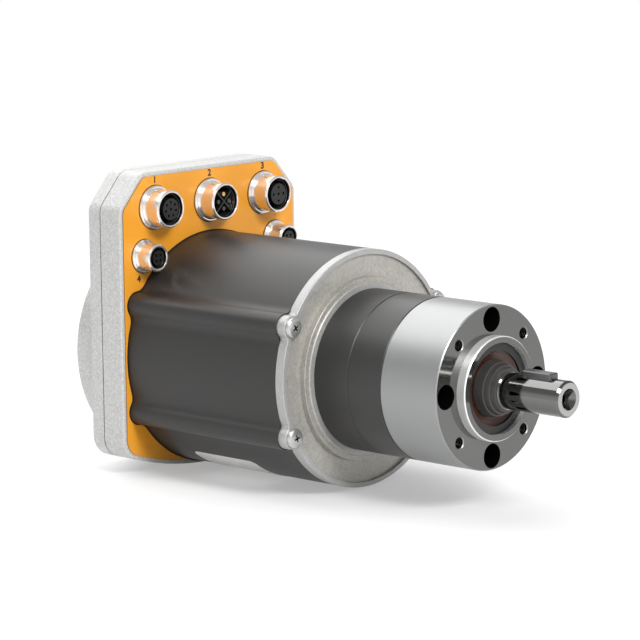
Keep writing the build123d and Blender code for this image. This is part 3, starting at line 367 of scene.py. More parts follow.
def grained(name, colour, metallic, roughness, grain, contrast=0.1, depth=0.00003, strength=0.3,
            specular=0.5):
    """Finish with an even grain: coatings, castings, plastic and rubber."""
    material, nodes, links, shader, place = new_material(name)
    factor = noise(nodes, links, place.outputs["Object"], grain)
    colours = tint(nodes, links, factor, shade(colour, 1 - contrast), shade(colour, 1 + contrast))
    links.new(colours, shader.inputs["Base Color"])
    rough = spread_value(nodes, links, factor, roughness * 0.88, roughness * 1.12)
    links.new(rough, shader.inputs["Roughness"])
    shader.inputs["Metallic"].default_value = metallic
    shader.inputs["Specular IOR Level"].default_value = specular
    bump(nodes, links, shader, factor, strength, depth)
    return material


def math_node(nodes, links, operation, first, second):
    """Math on two node values, or on a node value and a number."""
    node = nodes.new("ShaderNodeMath")
    node.operation = operation
    feed(links, first, node.inputs[0])
    feed(links, second, node.inputs[1])
    return node.outputs["Value"]


def within(nodes, links, value, low, high):
    """1 where a node value lies between two lengths in millimetres, 0 elsewhere."""
    node = nodes.new("ShaderNodeMath")
    node.operation = "COMPARE"
    node.inputs[1].default_value = (low + high) / 2 * MM
    node.inputs[2].default_value = (high - low) / 2 * MM
    links.new(value, node.inputs[0])
    return node.outputs["Value"]


def vector_node(nodes, links, operation, first, second=None):
    """Vector math on a node vector, with a fixed second vector where it takes one."""
    node = nodes.new("ShaderNodeVectorMath")
    node.operation = operation
    links.new(first, node.inputs[0])
    if second is not None:
        node.inputs[1].default_value = second
    return node.outputs["Value" if operation == "LENGTH" else "Vector"]


def part_of(nodes, links, vector, axis):
    """Part of a node vector along one axis."""
    split = nodes.new("ShaderNodeSeparateXYZ")
    links.new(vector, split.inputs["Vector"])
    return split.outputs[axis]


def mixed(nodes, links, factor, first, second, kind="FLOAT"):
    """Node value or colour that goes from the first to the second with a factor."""
    mix = nodes.new("ShaderNodeMix")
    mix.data_type = kind
    for value, label in ((factor, "Factor"), (first, "A"), (second, "B")):
        feed(links, value, mix.inputs[label])
    return mix.outputs["Result"]


def colour_mix(nodes, links, factor, first, second):
    """Colour that goes from the first to the second with a factor."""
    return mixed(nodes, links, factor, first, second, "RGBA")


def speckle(nodes, links, place, grain, dark, light):
    """Colour with an even grain between two tones."""
    return tint(nodes, links, noise(nodes, links, place.outputs["Object"], grain), dark, light)


def radius_of(nodes, links, vector):
    """Distance of a node vector from the X axis, which is the shaft's."""
    flat = vector_node(nodes, links, "MULTIPLY", vector, (0, 1, 1))
    return vector_node(nodes, links, "LENGTH", flat)


def ring_noise(nodes, links, place):
    """Noise that runs in fine rings round the shaft."""
    rings = nodes.new("ShaderNodeCombineXYZ")
    links.new(part_of(nodes, links, place.outputs["Object"], "X"), rings.inputs["X"])
    links.new(radius_of(nodes, links, place.outputs["Object"]), rings.inputs["Y"])
    return noise(nodes, links, rings.outputs["Vector"], GROOVE, detail=GROOVE_DETAIL)


def facing_front(nodes, links, place):
    """1 on faces that look along the shaft, 0 on all others."""
    along = part_of(nodes, links, place.outputs["Normal"], "X")
    return math_node(nodes, links, "GREATER_THAN", along, FACING_LIMIT)


def hole_distance(nodes, links, place, across, upward):
    """Distance in metres from the nearest of the holes at plus and minus two offsets."""
    size = vector_node(nodes, links, "ABSOLUTE", place.outputs["Object"])
    offset = vector_node(nodes, links, "SUBTRACT", size, (0, across * MM, upward * MM))
    return radius_of(nodes, links, offset)


def inside_holes(nodes, links, place, holes):
    """1 on the walls and floors of round holes along X, 0 elsewhere."""
    found = None
    for across, upward, reach in holes:
        far = hole_distance(nodes, links, place, across, upward)
        test = math_node(nodes, links, "LESS_THAN", far, reach * MM)
        found = math_node(nodes, links, "MAXIMUM", found, test) if found else test
    return found


def opened(material):
    """Nodes, links, shader, coordinates and base colour of a material that is to be added to."""
    nodes, links = material.node_tree.nodes, material.node_tree.links
    shader = next(node for node in nodes if node.type == "BSDF_PRINCIPLED")
    place = next(node for node in nodes if node.type == "TEX_COORD")
    return nodes, links, shader, place, shader.inputs["Base Color"].links[0].from_socket


def turned(name, colour, roughness, metallic=1.0, strength=0.12, polished=None, front=None):
    """Turned metal with fine rings round the shaft; its front faces may be smoother, and take another
    tone that paints light or shade on them.
    """
    material, nodes, links, shader, place = new_material(name)
    factor = ring_noise(nodes, links, place)
    colours = tint(nodes, links, factor, shade(colour, 0.94), shade(colour, 1.06))
    rough = spread_value(nodes, links, factor, roughness * 0.8, roughness * 1.2)
    if polished is not None:
        facing = facing_front(nodes, links, place)
        smooth = spread_value(nodes, links, factor, polished * 0.7, polished * 1.3)
        rough = mixed(nodes, links, facing, rough, smooth)
        # Painted light or shade: the front faces get a lighter or darker tone of the same metal
        face = tint(nodes, links, factor, shade(front, 0.96), shade(front, 1.04))
        colours = colour_mix(nodes, links, facing, colours, face)
    links.new(colours, shader.inputs["Base Color"])
    links.new(rough, shader.inputs["Roughness"])
    shader.inputs["Metallic"].default_value = metallic
    bump(nodes, links, shader, factor, strength, GROOVE_DEPTH)
    return material


def bright_finish(settings):
    """Turned steel of the front housing: satin side, polished face darkened as painted shade, collar
    wall lightened as a painted highlight, painted shade in the holes.
    """
    material = turned(
        "bright_steel", settings.bright, 0.42, polished=0.10, front=settings.polished)
    nodes, links, shader, place, steel = opened(material)
    rings = ring_noise(nodes, links, place)
    # Painted highlight: the collar's side wall gets a light grey and less metal, for its bright
    # reflection
    wall = tint(nodes, links, rings, (0.78, 0.78, 0.78), (0.88, 0.88, 0.88))
    # Near black for the painted shade inside the tapped holes and counterbores
    dark = speckle(nodes, links, place, 0.0006, (0.010, 0.010, 0.010), (0.018, 0.018, 0.018))
    radius = radius_of(nodes, links, place.outputs["Object"])
    near = math_node(nodes, links, "LESS_THAN", radius, COLLAR_HIGHLIGHT_REACH * MM)
    collar_highlight = math_node(nodes, links, "GREATER_THAN", near, facing_front(nodes, links, place))
    colour = colour_mix(nodes, links, collar_highlight, steel, wall)
    # Painted shade: the holes' walls and floors are coloured near black
    holes = inside_holes(nodes, links, place, FACE_HOLE_SHADE)
    links.new(colour_mix(nodes, links, holes, colour, dark), shader.inputs["Base Color"])
    metal = ranged(nodes, links, collar_highlight, (0.0, 1.0), (0.9, 0.55))
    links.new(metal, shader.inputs["Metallic"])
    return material


def flange_finish(settings):
    """Cast metal, mottled, and bare and bright on its rims."""
    material, nodes, links, shader, place = new_material("cast_flange")
    grain = noise(nodes, links, place.outputs["Object"], settings.cast_grain)
    cloud = noise(nodes, links, place.outputs["Object"], settings.cast_grain * CLOUD_SIZE)
    factor = mixed(nodes, links, CLOUD_SHARE, grain, cloud)
    dull = tint(nodes, links, factor, shade(settings.cast, 0.76), shade(settings.cast, 1.18))
    bright = tint(nodes, links, factor, (0.36, 0.36, 0.355), (0.47, 0.47, 0.465))
    radius = radius_of(nodes, links, place.outputs["Object"])
    rims = [within(nodes, links, radius, low, high) for low, high in FLANGE_BRIGHT]
    bare = math_node(nodes, links, "MAXIMUM", *rims)
    links.new(colour_mix(nodes, links, bare, dull, bright), shader.inputs["Base Color"])
    links.new(spread_value(nodes, links, factor, 0.34, 0.52), shader.inputs["Roughness"])
    shader.inputs["Metallic"].default_value = 0.4
    bump(nodes, links, shader, factor, 0.35, 0.00008)
    return material


def box_finish(settings):
    """Cast box under a thin pale coating: speckled, with painted shade in the gap round the motor tube.
    """
    material = grained(
        "box_coat", settings.box, 0.1, 0.48, settings.cast_grain, contrast=0.17, depth=0.00006,
        specular=0.4)
    nodes, links, shader, place, pale = opened(material)
    # Near black for the painted shade in the gap round the motor tube
    dark = speckle(nodes, links, place, 0.001, (0.016, 0.014, 0.012), (0.024, 0.021, 0.018))
    radius = radius_of(nodes, links, place.outputs["Object"])
    gap = math_node(nodes, links, "LESS_THAN", radius, TUBE_GAP_SHADE * MM)
    sides = []
    for axis, reach in zip("YZ", RIB_GAP_SHADE):
        offset = part_of(nodes, links, place.outputs["Object"], axis)
        sides.append(within(nodes, links, offset, -reach, reach))
    ribs = math_node(nodes, links, "MULTIPLY", *sides)
    gap_shade = math_node(nodes, links, "MAXIMUM", gap, ribs)
    inside = math_node(nodes, links, "MULTIPLY", facing_front(nodes, links, place), gap_shade)
    links.new(colour_mix(nodes, links, inside, pale, dark), shader.inputs["Base Color"])
    return material


def film_finish(settings):
    """Orange film: satin face, brown cut edge."""
    material, nodes, links, shader, place = new_material("orange_film")
    factor = noise(nodes, links, place.outputs["Object"], 0.00035)
    face = tint(nodes, links, factor, shade(settings.film, 0.97), shade(settings.film, 1.03))
    edge = tint(nodes, links, factor, shade(settings.film_edge, 0.8), settings.film_edge)
    colour = colour_mix(nodes, links, facing_front(nodes, links, place), edge, face)
    links.new(colour, shader.inputs["Base Color"])
    shader.inputs["Roughness"].default_value = 0.36
    bump(nodes, links, shader, factor, 0.15, 0.000015)
    return material


def striped(name, colour, radian, dark, metallic, roughness, strength, depth, distortion=0.0):
    """Stripes for wound wire and stacked sheets; a pair takes 2 pi times the length of a radian."""
    material, nodes, links, shader, place = new_material(name)
    wave = nodes.new("ShaderNodeTexWave")
    wave.inputs["Scale"].default_value = 1 / (WAVE_RATE * radian)
    wave.inputs["Distortion"].default_value = distortion
    links.new(place.outputs["Object"], wave.inputs["Vector"])
    colours = tint(nodes, links, wave.outputs["Fac"], shade(colour, dark), shade(colour, 1.1))
    links.new(colours, shader.inputs["Base Color"])
    shader.inputs["Metallic"].default_value = metallic
    shader.inputs["Roughness"].default_value = roughness
    bump(nodes, links, shader, wave.outputs["Fac"], strength, depth)
    return material


def nickel_finish():
    """Bright nickel with painted shade inside the socket mouths."""
    material = grained(
        "nickel_plate", (0.86, 0.82, 0.79), 0.85, 0.20, 0.004, contrast=0.02, depth=0.000001,
        strength=0.05)
    nodes, links, shader, place, plate = opened(material)
    # Near black for the painted shade inside the socket mouths
    dark = speckle(nodes, links, place, 0.0006, (0.018, 0.018, 0.018), (0.030, 0.030, 0.030))
    mouth = inside_holes(nodes, links, place, SOCKET_MOUTH_SHADE)
    links.new(colour_mix(nodes, links, mouth, plate, dark), shader.inputs["Base Color"])
    return material


def contact_finish():
    """Gold contacts, painted dark as shade on all but the one that stands highest."""
    # Dark tone: painted shade on the gold contacts that sit deep in their chambers
    material = grained("gold_contact_shade", (0.085, 0.078, 0.065), 0.9, 0.24, 0.0004, contrast=0.1)
    nodes, links, shader, place, dull = opened(material)
    gold = speckle(nodes, links, place, 0.0004, (0.56, 0.39, 0.14), (0.68, 0.49, 0.21))
    height = part_of(nodes, links, place.outputs["Object"], "Z")
    high = math_node(nodes, links, "GREATER_THAN", height, CONTACT_SHADE_LEVEL * MM)
    links.new(colour_mix(nodes, links, high, dull, gold), shader.inputs["Base Color"])
    return material


def dress(material, *names):
    """Puts a finish on CAD nodes."""
    for name in names:
        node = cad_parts[name]
        if not node.material_slots:
            node.data.materials.append(material)
        for slot in node.material_slots:
            slot.material = material


def finishes(context):
    """Settings of the finishes."""
    return context.scene.motor_finishes


def pieces_of(context):
    """Settings of the added pieces."""
    return context.scene.motor_pieces


class MOTOR_OT_finish_gearbox(bpy.types.Operator):
    """Finish the bright housing, the dark rings and their screws"""

    bl_idname = "motor.finish_gearbox"
    bl_label = "Finish gearbox"

    def execute(self, context):
        settings = finishes(context)
        dress(bright_finish(settings), "output_housing")
        dark = turned("dark_oxide", settings.oxide, 0.40, metallic=0.5, strength=0.08)
        dress(dark, "ring_gear", "gearbox_adapter")
        # Near black: painted shade on the seal case in its recess inside the collar
        dress(turned("seal_case_shaded_steel", (0.026, 0.026, 0.025), 0.42, metallic=0.4), "seal_case")
        black = grained("black_screw", (0.02, 0.02, 0.021), 0.7, 0.38, 0.0004)
        dress(black, "gearbox_screws", "adapter_screws", "bearing_circlip")
        return {"FINISHED"}


class MOTOR_OT_finish_shaft(bpy.types.Operator):
    """Finish the output shaft, its key and its seals"""

    bl_idname = "motor.finish_shaft"
    bl_label = "Finish shaft"

    def execute(self, context):
        # The end face's lighter tone is a painted highlight on the same ground steel
        steel = turned("ground_steel", (0.17, 0.17, 0.166), 0.07, strength=0.04, polished=0.12,
                       front=(0.42, 0.42, 0.41))
        dress(steel, "output_shaft")
        dress(grained("key_steel", (0.13, 0.13, 0.13), 0.85, 0.32, 0.0005), "shaft_key")
        brown = grained("brown_seal", (0.052, 0.015, 0.007), 0.0, 0.30, 0.002, depth=0.000004)
        dress(brown, "shaft_seal")
        dress(grained("grey_rubber", (0.042, 0.040, 0.038), 0.0, 0.36, 0.002, depth=0.000004), "v_ring")
        return {"FINISHED"}


class MOTOR_OT_finish_motor(bpy.types.Operator):
    """Finish the motor tube, its cast flange, screws and label"""

    bl_idname = "motor.finish_motor"
    bl_label = "Finish motor"

    def execute(self, context):
        settings = finishes(context)
        coat = grained("tube_coat", settings.tube, 0.0, 0.43, 0.0005, contrast=0.08, depth=0.00001,
                       specular=0.42)
        dress(coat, "motor_housing")
        dress(flange_finish(settings), "motor_flange")
        dress(turned("screw_steel", (0.45, 0.45, 0.44), 0.18), "flange_screws")
        label = grained("label_film", (0.93, 0.93, 0.92), 0.0, 0.30, 0.0006, contrast=0.02)
        dress(label, "rating_label")
        return {"FINISHED"}


class MOTOR_OT_finish_controller(bpy.types.Operator):
    """Finish the controller box, its film and its gasket"""

    bl_idname = "motor.finish_controller"
    bl_label = "Finish controller"

    def execute(self, context):
        settings = finishes(context)
        dress(box_finish(settings), "controller_housing", "controller_cover")
        dress(film_finish(settings), "front_panel")
        dress(grained("dark_gasket", (0.05, 0.05, 0.05), 0.0, 0.6, 0.0004), "cover_gasket")
        steel = turned("small_screw_steel", (0.55, 0.55, 0.55), 0.22)
        dress(steel, "cover_screws", "housing_screws", "board_screws")
        return {"FINISHED"}


class MOTOR_OT_finish_sockets(bpy.types.Operator):
    """Finish the plug sockets"""

    bl_idname = "motor.finish_sockets"
    bl_label = "Finish sockets"

    def execute(self, context):
        dress(nickel_finish(), *LARGE_SOCKETS, *SMALL_SOCKETS, "socket_nuts")
        black = grained("black_insulator", (0.006, 0.006, 0.006), 0.0, 0.46, 0.0005)
        dress(black, "large_socket_inserts", "small_socket_inserts")
        dress(contact_finish(), "socket_contacts")
        return {"FINISHED"}


class MOTOR_OT_finish_inside(bpy.types.Operator):
    """Finish the pieces inside the motor, gearbox and controller"""

    bl_idname = "motor.finish_inside"
    bl_label = "Finish inside"

    def execute(self, context):
        races = turned("bearing_steel", (0.60, 0.60, 0.61), 0.14)
        for side in ("output", "motor"):
            dress(races, *[f"{side}_bearing_{part}" for part in BEARING_PARTS])
        dress(races, "planet_pins", "bearing_preload_washer")
        gears = [f"planet_gear_{number}" for number in (1, 2, 3)]
        dress(turned("gear_steel", (0.38, 0.38, 0.39), 0.28), "sun_gear", "carrier_plate", *gears)
        dress(turned("rotor_steel", (0.55, 0.55, 0.55), 0.2), "rotor_shaft")
        dress(grained("bush_bronze", (0.45, 0.28, 0.12), 1.0, 0.34, 0.0003), "planet_bushes")
        sheets = striped("stacked_sheet", (0.16, 0.16, 0.17), 0.0005, dark=0.7, metallic=0.9,
                         roughness=0.45, strength=0.3, depth=0.00004)
        dress(sheets, "stator_core", "rotor_core")
        wire = striped("enamelled_wire", (0.52, 0.17, 0.06), 0.0008, dark=0.6, metallic=0.8,
                       roughness=0.32, strength=0.5, depth=0.0001, distortion=1.2)
        dress(wire, "stator_windings")
        dress(grained("copper_pin", (0.75, 0.34, 0.18), 1.0, 0.25, 0.0005), "phase_pins")
        magnet = grained("plated_magnet", (0.42, 0.42, 0.43), 1.0, 0.26, 0.0007)
        dress(magnet, "rotor_magnets", "encoder_magnet")
        dress(turned("shield_metal", (0.50, 0.50, 0.50), 0.32), "rear_bearing_shield")
        dress(grained("natural_plastic", (0.48, 0.45, 0.36), 0.0, 0.45, 0.0006), "stator_insulators")
        board = grained("green_board", (0.012, 0.085, 0.035), 0.0, 0.36, 0.0012, contrast=0.2)
        dress(board, "main_board", "encoder_board")
        dress(grained("moulded_black", (0.016, 0.016, 0.017), 0.0, 0.5, 0.0004), "board_components")
        dress(grained("can_sleeve", (0.10, 0.11, 0.13), 0.3, 0.34, 0.0008), "power_capacitors")
        return {"FINISHED"}


def start_piece():
    """Nothing selected and object mode, before a primitive is added."""
    if bpy.context.object and bpy.context.object.mode != "OBJECT":
        bpy.ops.object.mode_set(mode="OBJECT")
    bpy.ops.object.select_all(action="DESELECT")


def edit_all():
    """Edit mode with the whole piece selected."""
    bpy.ops.object.mode_set(mode="EDIT")
    bpy.ops.mesh.select_all(action="SELECT")


def settle(piece, name, material, body):
    """Names a finished piece, puts its place into its mesh and lets it ride on a body."""
    piece.name = name
    piece.data.name = name
    bpy.ops.object.select_all(action="DESELECT")
    piece.select_set(True)
    bpy.context.view_layer.objects.active = piece
    bpy.ops.object.transform_apply(location=True, rotation=True, scale=True)
    edit_all()
    bpy.ops.mesh.remove_doubles(threshold=MERGE_DISTANCE)
    bpy.ops.mesh.normals_make_consistent(inside=False)
    bpy.ops.object.mode_set(mode="OBJECT")
    piece.data.materials.clear()
    piece.data.materials.append(material)
    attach(piece, body)
    return piece


def thread_ridge(size, mouth, place, name, material, body):
    """Helical ridge on the wall of a hole along X that starts just behind its mouth."""
    start_piece()
    pitch, ridge = size["pitch"] * MM, size["ridge"] * MM
    bpy.ops.mesh.primitive_circle_add(vertices=3, radius=ridge, fill_type="NOTHING")
    piece = bpy.context.object
    half = pitch * THREAD_FLANK
    wall = size["radius"] * MM + ridge * THREAD_ROOT
    corners = ((-half, wall), (half, wall), (0.0, size["radius"] * MM - ridge))
    for vertex, (along, out) in zip(piece.data.vertices, corners):
        vertex.co = (along, 0.0, out)
    helix = piece.modifiers.new("helix", "SCREW")
    helix.axis = "X"
    helix.angle = 2 * math.pi
    helix.screw_offset = -pitch
    helix.iterations = size["turns"]
    helix.steps = THREAD_STEPS
    helix.render_steps = THREAD_STEPS
    helix.use_merge_vertices = False
    bpy.ops.object.modifier_apply(modifier=helix.name)
    edit_all()
    bpy.ops.mesh.fill_holes(sides=0)
    bpy.ops.object.mode_set(mode="OBJECT")
    piece.location = (mouth - THREAD_LEAD_IN * MM, place[0], place[1])
    return settle(piece, name, material, body)


class MOTOR_OT_add_shaft_thread(bpy.types.Operator):
    """Add the thread in the centre hole of the shaft"""

    bl_idname = "motor.add_shaft_thread"
    bl_label = "Add shaft thread"

    def execute(self, context):
        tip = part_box("output_shaft")[1].x
        steel = turned("thread_steel", (0.16, 0.16, 0.16), 0.25)
        thread_ridge(CENTRE_THREAD, tip - MOUTH_DEPTH * MM, (0.0, 0.0), "shaft_thread", steel,
                     OUTPUT)
        return {"FINISHED"}


class MOTOR_OT_add_flange_threads(bpy.types.Operator):
    """Add the threads in the four tapped holes of the mounting face"""

    bl_idname = "motor.add_flange_threads"
    bl_label = "Add flange threads"

    def execute(self, context):
        # Near black steel: painted shade on the threads inside the tapped holes
        steel = turned("hole_steel_painted_shade", (0.05, 0.05, 0.05), 0.26)
        for number, angle in enumerate(TAPPED_ANGLES, start=1):
            turn = math.radians(angle)
            place = (TAPPED_CIRCLE * MM * math.cos(turn), TAPPED_CIRCLE * MM * math.sin(turn))
            thread_ridge(FLANGE_THREAD, 0.0, place, f"flange_thread_{number}", steel,
                         ROOT)
        return {"FINISHED"}


def select_faces(piece, test):
    """Edit mode with only those faces selected that pass a test."""
    bpy.ops.object.mode_set(mode="EDIT")
    bpy.ops.mesh.select_mode(type="FACE")
    bpy.ops.mesh.select_all(action="DESELECT")
    bpy.ops.object.mode_set(mode="OBJECT")
    for face in piece.data.polygons:
        face.select = test(face)
    bpy.ops.object.mode_set(mode="EDIT")


def pan_head_screw(seat, tail):
    """Screw on the X axis: domed head with a cross recess, and a plain shank."""
    size = {name: value * MM for name, value in FLANGE_SCREW.items()}
    start_piece()
    bpy.ops.mesh.primitive_cylinder_add(
        vertices=SCREW_CORNERS, radius=size["head"], depth=size["side"],
        location=(seat + size["side"] / 2, 0, 0), rotation=(0, math.pi / 2, 0))
    screw = bpy.context.object
    bpy.ops.object.transform_apply(location=True, rotation=True, scale=True)
    select_faces(screw, lambda face: face.normal.x < -FACING_LIMIT)
    bpy.ops.mesh.inset(thickness=size["head"] - size["shank"])
    bpy.ops.mesh.extrude_region_move(TRANSFORM_OT_translate={"value": (tail - seat, 0, 0)})
    select_faces(screw, lambda face: face.normal.x > FACING_LIMIT and face.center.x > seat)
    for narrower, higher in SCREW_DOME:
        bpy.ops.mesh.inset(thickness=narrower * MM)
        bpy.ops.transform.translate(value=(higher * MM, 0, 0))
    bpy.ops.object.mode_set(mode="OBJECT")
    top = seat + SCREW_HEIGHT * MM
    for across, upward in ((size["cross"], size["slot"]), (size["slot"], size["cross"])):
        bpy.ops.object.select_all(action="DESELECT")
        bpy.ops.mesh.primitive_cube_add(size=1, location=(top, 0, 0))
        tool = bpy.context.object
        tool.scale = (SCREW_HEIGHT * MM * RECESS_REACH, across, upward)
        bpy.ops.object.transform_apply(location=False, rotation=False, scale=True)
        select_faces(tool, lambda face: face.normal.x < -FACING_LIMIT)
        bpy.ops.transform.resize(value=(1, RECESS_TAPER, RECESS_TAPER))
        bpy.ops.object.mode_set(mode="OBJECT")
        recess = screw.modifiers.new("recess", "BOOLEAN")
        recess.object = tool
        recess.operation = "DIFFERENCE"
        bpy.context.view_layer.objects.active = screw
        bpy.ops.object.modifier_apply(modifier=recess.name)
        bpy.data.objects.remove(tool, do_unlink=True)
    return screw


def screw_finish(top):
    """Bright zinc, with painted shade inside the cross recess below the head's top."""
    material = grained(
        "screw_zinc", (0.56, 0.56, 0.55), 0.8, 0.3, 0.0005, contrast=0.06, depth=0.000006)
    nodes, links, shader, place, zinc = opened(material)
    # Dark tone for the painted shade inside the cross recess
    dark = speckle(nodes, links, place, 0.0004, (0.03, 0.03, 0.03), (0.05, 0.05, 0.05))
    along = part_of(nodes, links, place.outputs["Object"], "X")
    below = math_node(nodes, links, "LESS_THAN", along, top - RECESS_SHADE_DEPTH * MM)
    spots = ((*RIB_PLACE, FLANGE_SCREW["cross"] / 2),)
    recess_shade_area = inside_holes(nodes, links, place, spots)
    recess = math_node(nodes, links, "MULTIPLY", below, recess_shade_area)
    links.new(colour_mix(nodes, links, recess, zinc, dark), shader.inputs["Base Color"])
    return material


class MOTOR_OT_add_flange_screws(bpy.types.Operator):
    """Make the four pan head screws of the motor flange"""

    bl_idname = "motor.add_flange_screws"
    bl_label = "Add flange screws"

    def execute(self, context):
        low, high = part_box("flange_screws")
        steel = screw_finish(high.x)
        seat = high.x - SCREW_HEIGHT * MM
        first = pan_head_screw(seat, low.x)
        sides = ((-1, -1), (-1, 1), (1, -1), (1, 1))
        for number, (across, upward) in enumerate(sides, start=1):
            start_piece()
            screw = first.copy()
            screw.data = first.data.copy()
            context.collection.objects.link(screw)
            screw.rotation_euler = (math.radians(SCREW_TURN * number), 0, 0)
            screw.location = (0, across * RIB_PLACE[0] * MM, upward * RIB_PLACE[1] * MM)
            settle(screw, f"flange_screw_{number}", steel, ROOT)
            bpy.ops.object.shade_smooth_by_angle(angle=math.radians(SCREW_SMOOTH))
            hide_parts("flange_screws")
        bpy.data.objects.remove(first, do_unlink=True)
        return {"FINISHED"}


class MOTOR_OT_add_socket_threads(bpy.types.Operator):
    """Add the inside thread of each plug socket"""

    bl_idname = "motor.add_socket_threads"
    bl_label = "Add socket threads"

    def execute(self, context):
        # Dark nickel: painted shade on the threads inside the socket mouths
        nickel = grained("thread_nickel_painted_shade", (0.10, 0.098, 0.094), 0.9, 0.3, 0.0006, contrast=0.06)
        for sockets, size in ((LARGE_SOCKETS, LARGE_THREAD), (SMALL_SOCKETS, SMALL_THREAD)):
            for shell in sockets:
                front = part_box(shell)[1].x
                centre = node_centre(shell)
                name = shell.replace("_shell", "_thread")
                thread_ridge(size, front, (centre.y, centre.z), name, nickel, ROOT)
        return {"FINISHED"}


class MOTOR_OT_add_socket_seals(bpy.types.Operator):
    """Add the thin dark seal round the foot of each socket"""

    bl_idname = "motor.add_socket_seals"
    bl_label = "Add socket seals"

    def execute(self, context):
        section = pieces_of(context).seal_radius
        rubber = grained("seal_rubber", (0.014, 0.014, 0.014), 0.0, 0.5, 0.0004)
        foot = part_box("front_panel")[1].x
        for shell in (*LARGE_SOCKETS, *SMALL_SOCKETS):
            low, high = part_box(shell)
            centre = node_centre(shell)
            start_piece()
            bpy.ops.mesh.primitive_torus_add(
                major_radius=(high.y - low.y) / 2, minor_radius=section,
                major_segments=SEAL_CORNERS[0], minor_segments=SEAL_CORNERS[1],
                location=(foot + section * SEAL_RISE, centre.y, centre.z),
                rotation=(0, math.pi / 2, 0))
            name = shell.replace("_shell", "_seal")
            bpy.ops.object.transform_apply(location=True, rotation=True, scale=True)
            edit_all()
            bpy.ops.mesh.bisect(
                plane_co=(foot, 0, 0), plane_no=(1, 0, 0), use_fill=True, clear_inner=True)
            bpy.ops.mesh.select_all(action="SELECT")
            bpy.ops.transform.resize(value=(SEAL_HEIGHT, 1, 1), center_override=(foot, 0, 0))
            bpy.ops.object.mode_set(mode="OBJECT")
            settle(bpy.context.object, name, rubber, ROOT)
            bpy.ops.object.shade_smooth_by_angle(angle=math.radians(SEAL_SMOOTH))
        return {"FINISHED"}


class MOTOR_OT_add_socket_numbers(bpy.types.Operator):
    """Print a plain number beside each socket"""

    bl_idname = "motor.add_socket_numbers"
    bl_label = "Add socket numbers"

    def execute(self, context):
        settings = pieces_of(context)
        ink = grained("black_ink", (0.02, 0.018, 0.016), 0.0, 0.45, 0.0003, contrast=0.05)
        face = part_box("front_panel")[1].x
        rise = settings.number_gap + settings.number_height / 2
        across, out = Vector((0, 1, 0)), Vector((1, 0, 0))
        turn = Matrix((across, out.cross(across), out)).transposed().to_4x4()
        for shell, number, sideways, side in SOCKET_NUMBERS:
            low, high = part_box(shell)
            edge = high.z if side > 0 else low.z
            start_piece()
            bpy.ops.object.text_add(location=(0, 0, 0))
            text = bpy.context.object
            text.data.body = number
            text.data.size = settings.number_height * FONT_SCALE
            text.data.align_x = "CENTER"
            text.data.align_y = "CENTER"
            text.data.extrude = settings.print_thickness / 2
            text.data.offset = settings.number_stroke
            bpy.ops.object.convert(target="MESH")
            place = (face + settings.print_thickness / 2, node_centre(shell).y + sideways * MM,
                     edge + side * rise)
            piece = bpy.context.object
            piece.matrix_world = Matrix.Translation(place) @ turn
            settle(piece, f"socket_number_{number}", ink, ROOT)
        return {"FINISHED"}


def lamp(name, place, power):
    """Square area lamp that looks at the unit."""
    home = place["home"]
    bpy.ops.object.light_add(type="AREA", location=home)
    light = bpy.context.object
    light.name = name
    light.data.shape = "SQUARE"
    light.data.size = place["side"]
    light.data.energy = power
    light.rotation_mode = "QUATERNION"
    light.rotation_quaternion = (Vector(LAMP_TARGET) - Vector(home)).to_track_quat("-Z", "Y")


def mirror_share(nodes, links, rays):
    """Node value that is 1 for rays that are mirrored or seen through something clear."""
    glossy, through = rays.outputs["Is Glossy Ray"], rays.outputs["Is Transmission Ray"]
    return math_node(nodes, links, "MAXIMUM", glossy, through)


def shader_mix(nodes, links, factor, first, second):
    """Surface that goes from the first to the second with a factor."""
    mix = nodes.new("ShaderNodeMixShader")
    links.new(factor, mix.inputs["Fac"])
    links.new(first, mix.inputs[1])
    links.new(second, mix.inputs[2])
    return mix.outputs["Shader"]


def make_floor(settings):
    """Pale floor that fades into the white of the room."""
    start_piece()
    low = cad_box[0]
    bpy.ops.mesh.primitive_circle_add(
        vertices=FLOOR_CORNERS, radius=FLOOR_RADIUS, fill_type="NGON",
        location=(FLOOR_CENTRE, 0, low.z))
    floor = bpy.context.object
    floor.name = "floor"
    material, nodes, links, shader, place = new_material("floor_paint")
    factor = noise(nodes, links, place.outputs["Object"], 0.05)
    colours = tint(nodes, links, factor, shade(settings.floor, 0.99), settings.floor)
    links.new(colours, shader.inputs["Base Color"])
    shader.inputs["Roughness"].default_value = 0.8
    shader.inputs["Specular IOR Level"].default_value = 0.2
    glow = nodes.new("ShaderNodeEmission")
    rays = nodes.new("ShaderNodeLightPath")
    mirror = mirror_share(nodes, links, rays)
    shown = math_node(nodes, links, "MAXIMUM", rays.outputs["Is Camera Ray"], mirror)
    share = math_node(nodes, links, "MULTIPLY", shown, settings.floor_glow)
    seen = shader_mix(nodes, links, share, shader.outputs["BSDF"], glow.outputs["Emission"])
    far = vector_node(nodes, links, "LENGTH", place.outputs["Object"])
    ends = [FLOOR_RADIUS * part for part in FLOOR_FADE]
    fade = ranged(nodes, links, far, ends, (0.0, 1.0), smooth=True)
    clear = nodes.new("ShaderNodeBsdfTransparent")
    edge = shader_mix(nodes, links, fade, seen, clear.outputs["BSDF"])
    output = next(node for node in nodes if node.type == "OUTPUT_MATERIAL")
    links.new(edge, output.inputs["Surface"])
    floor.data.materials.append(material)


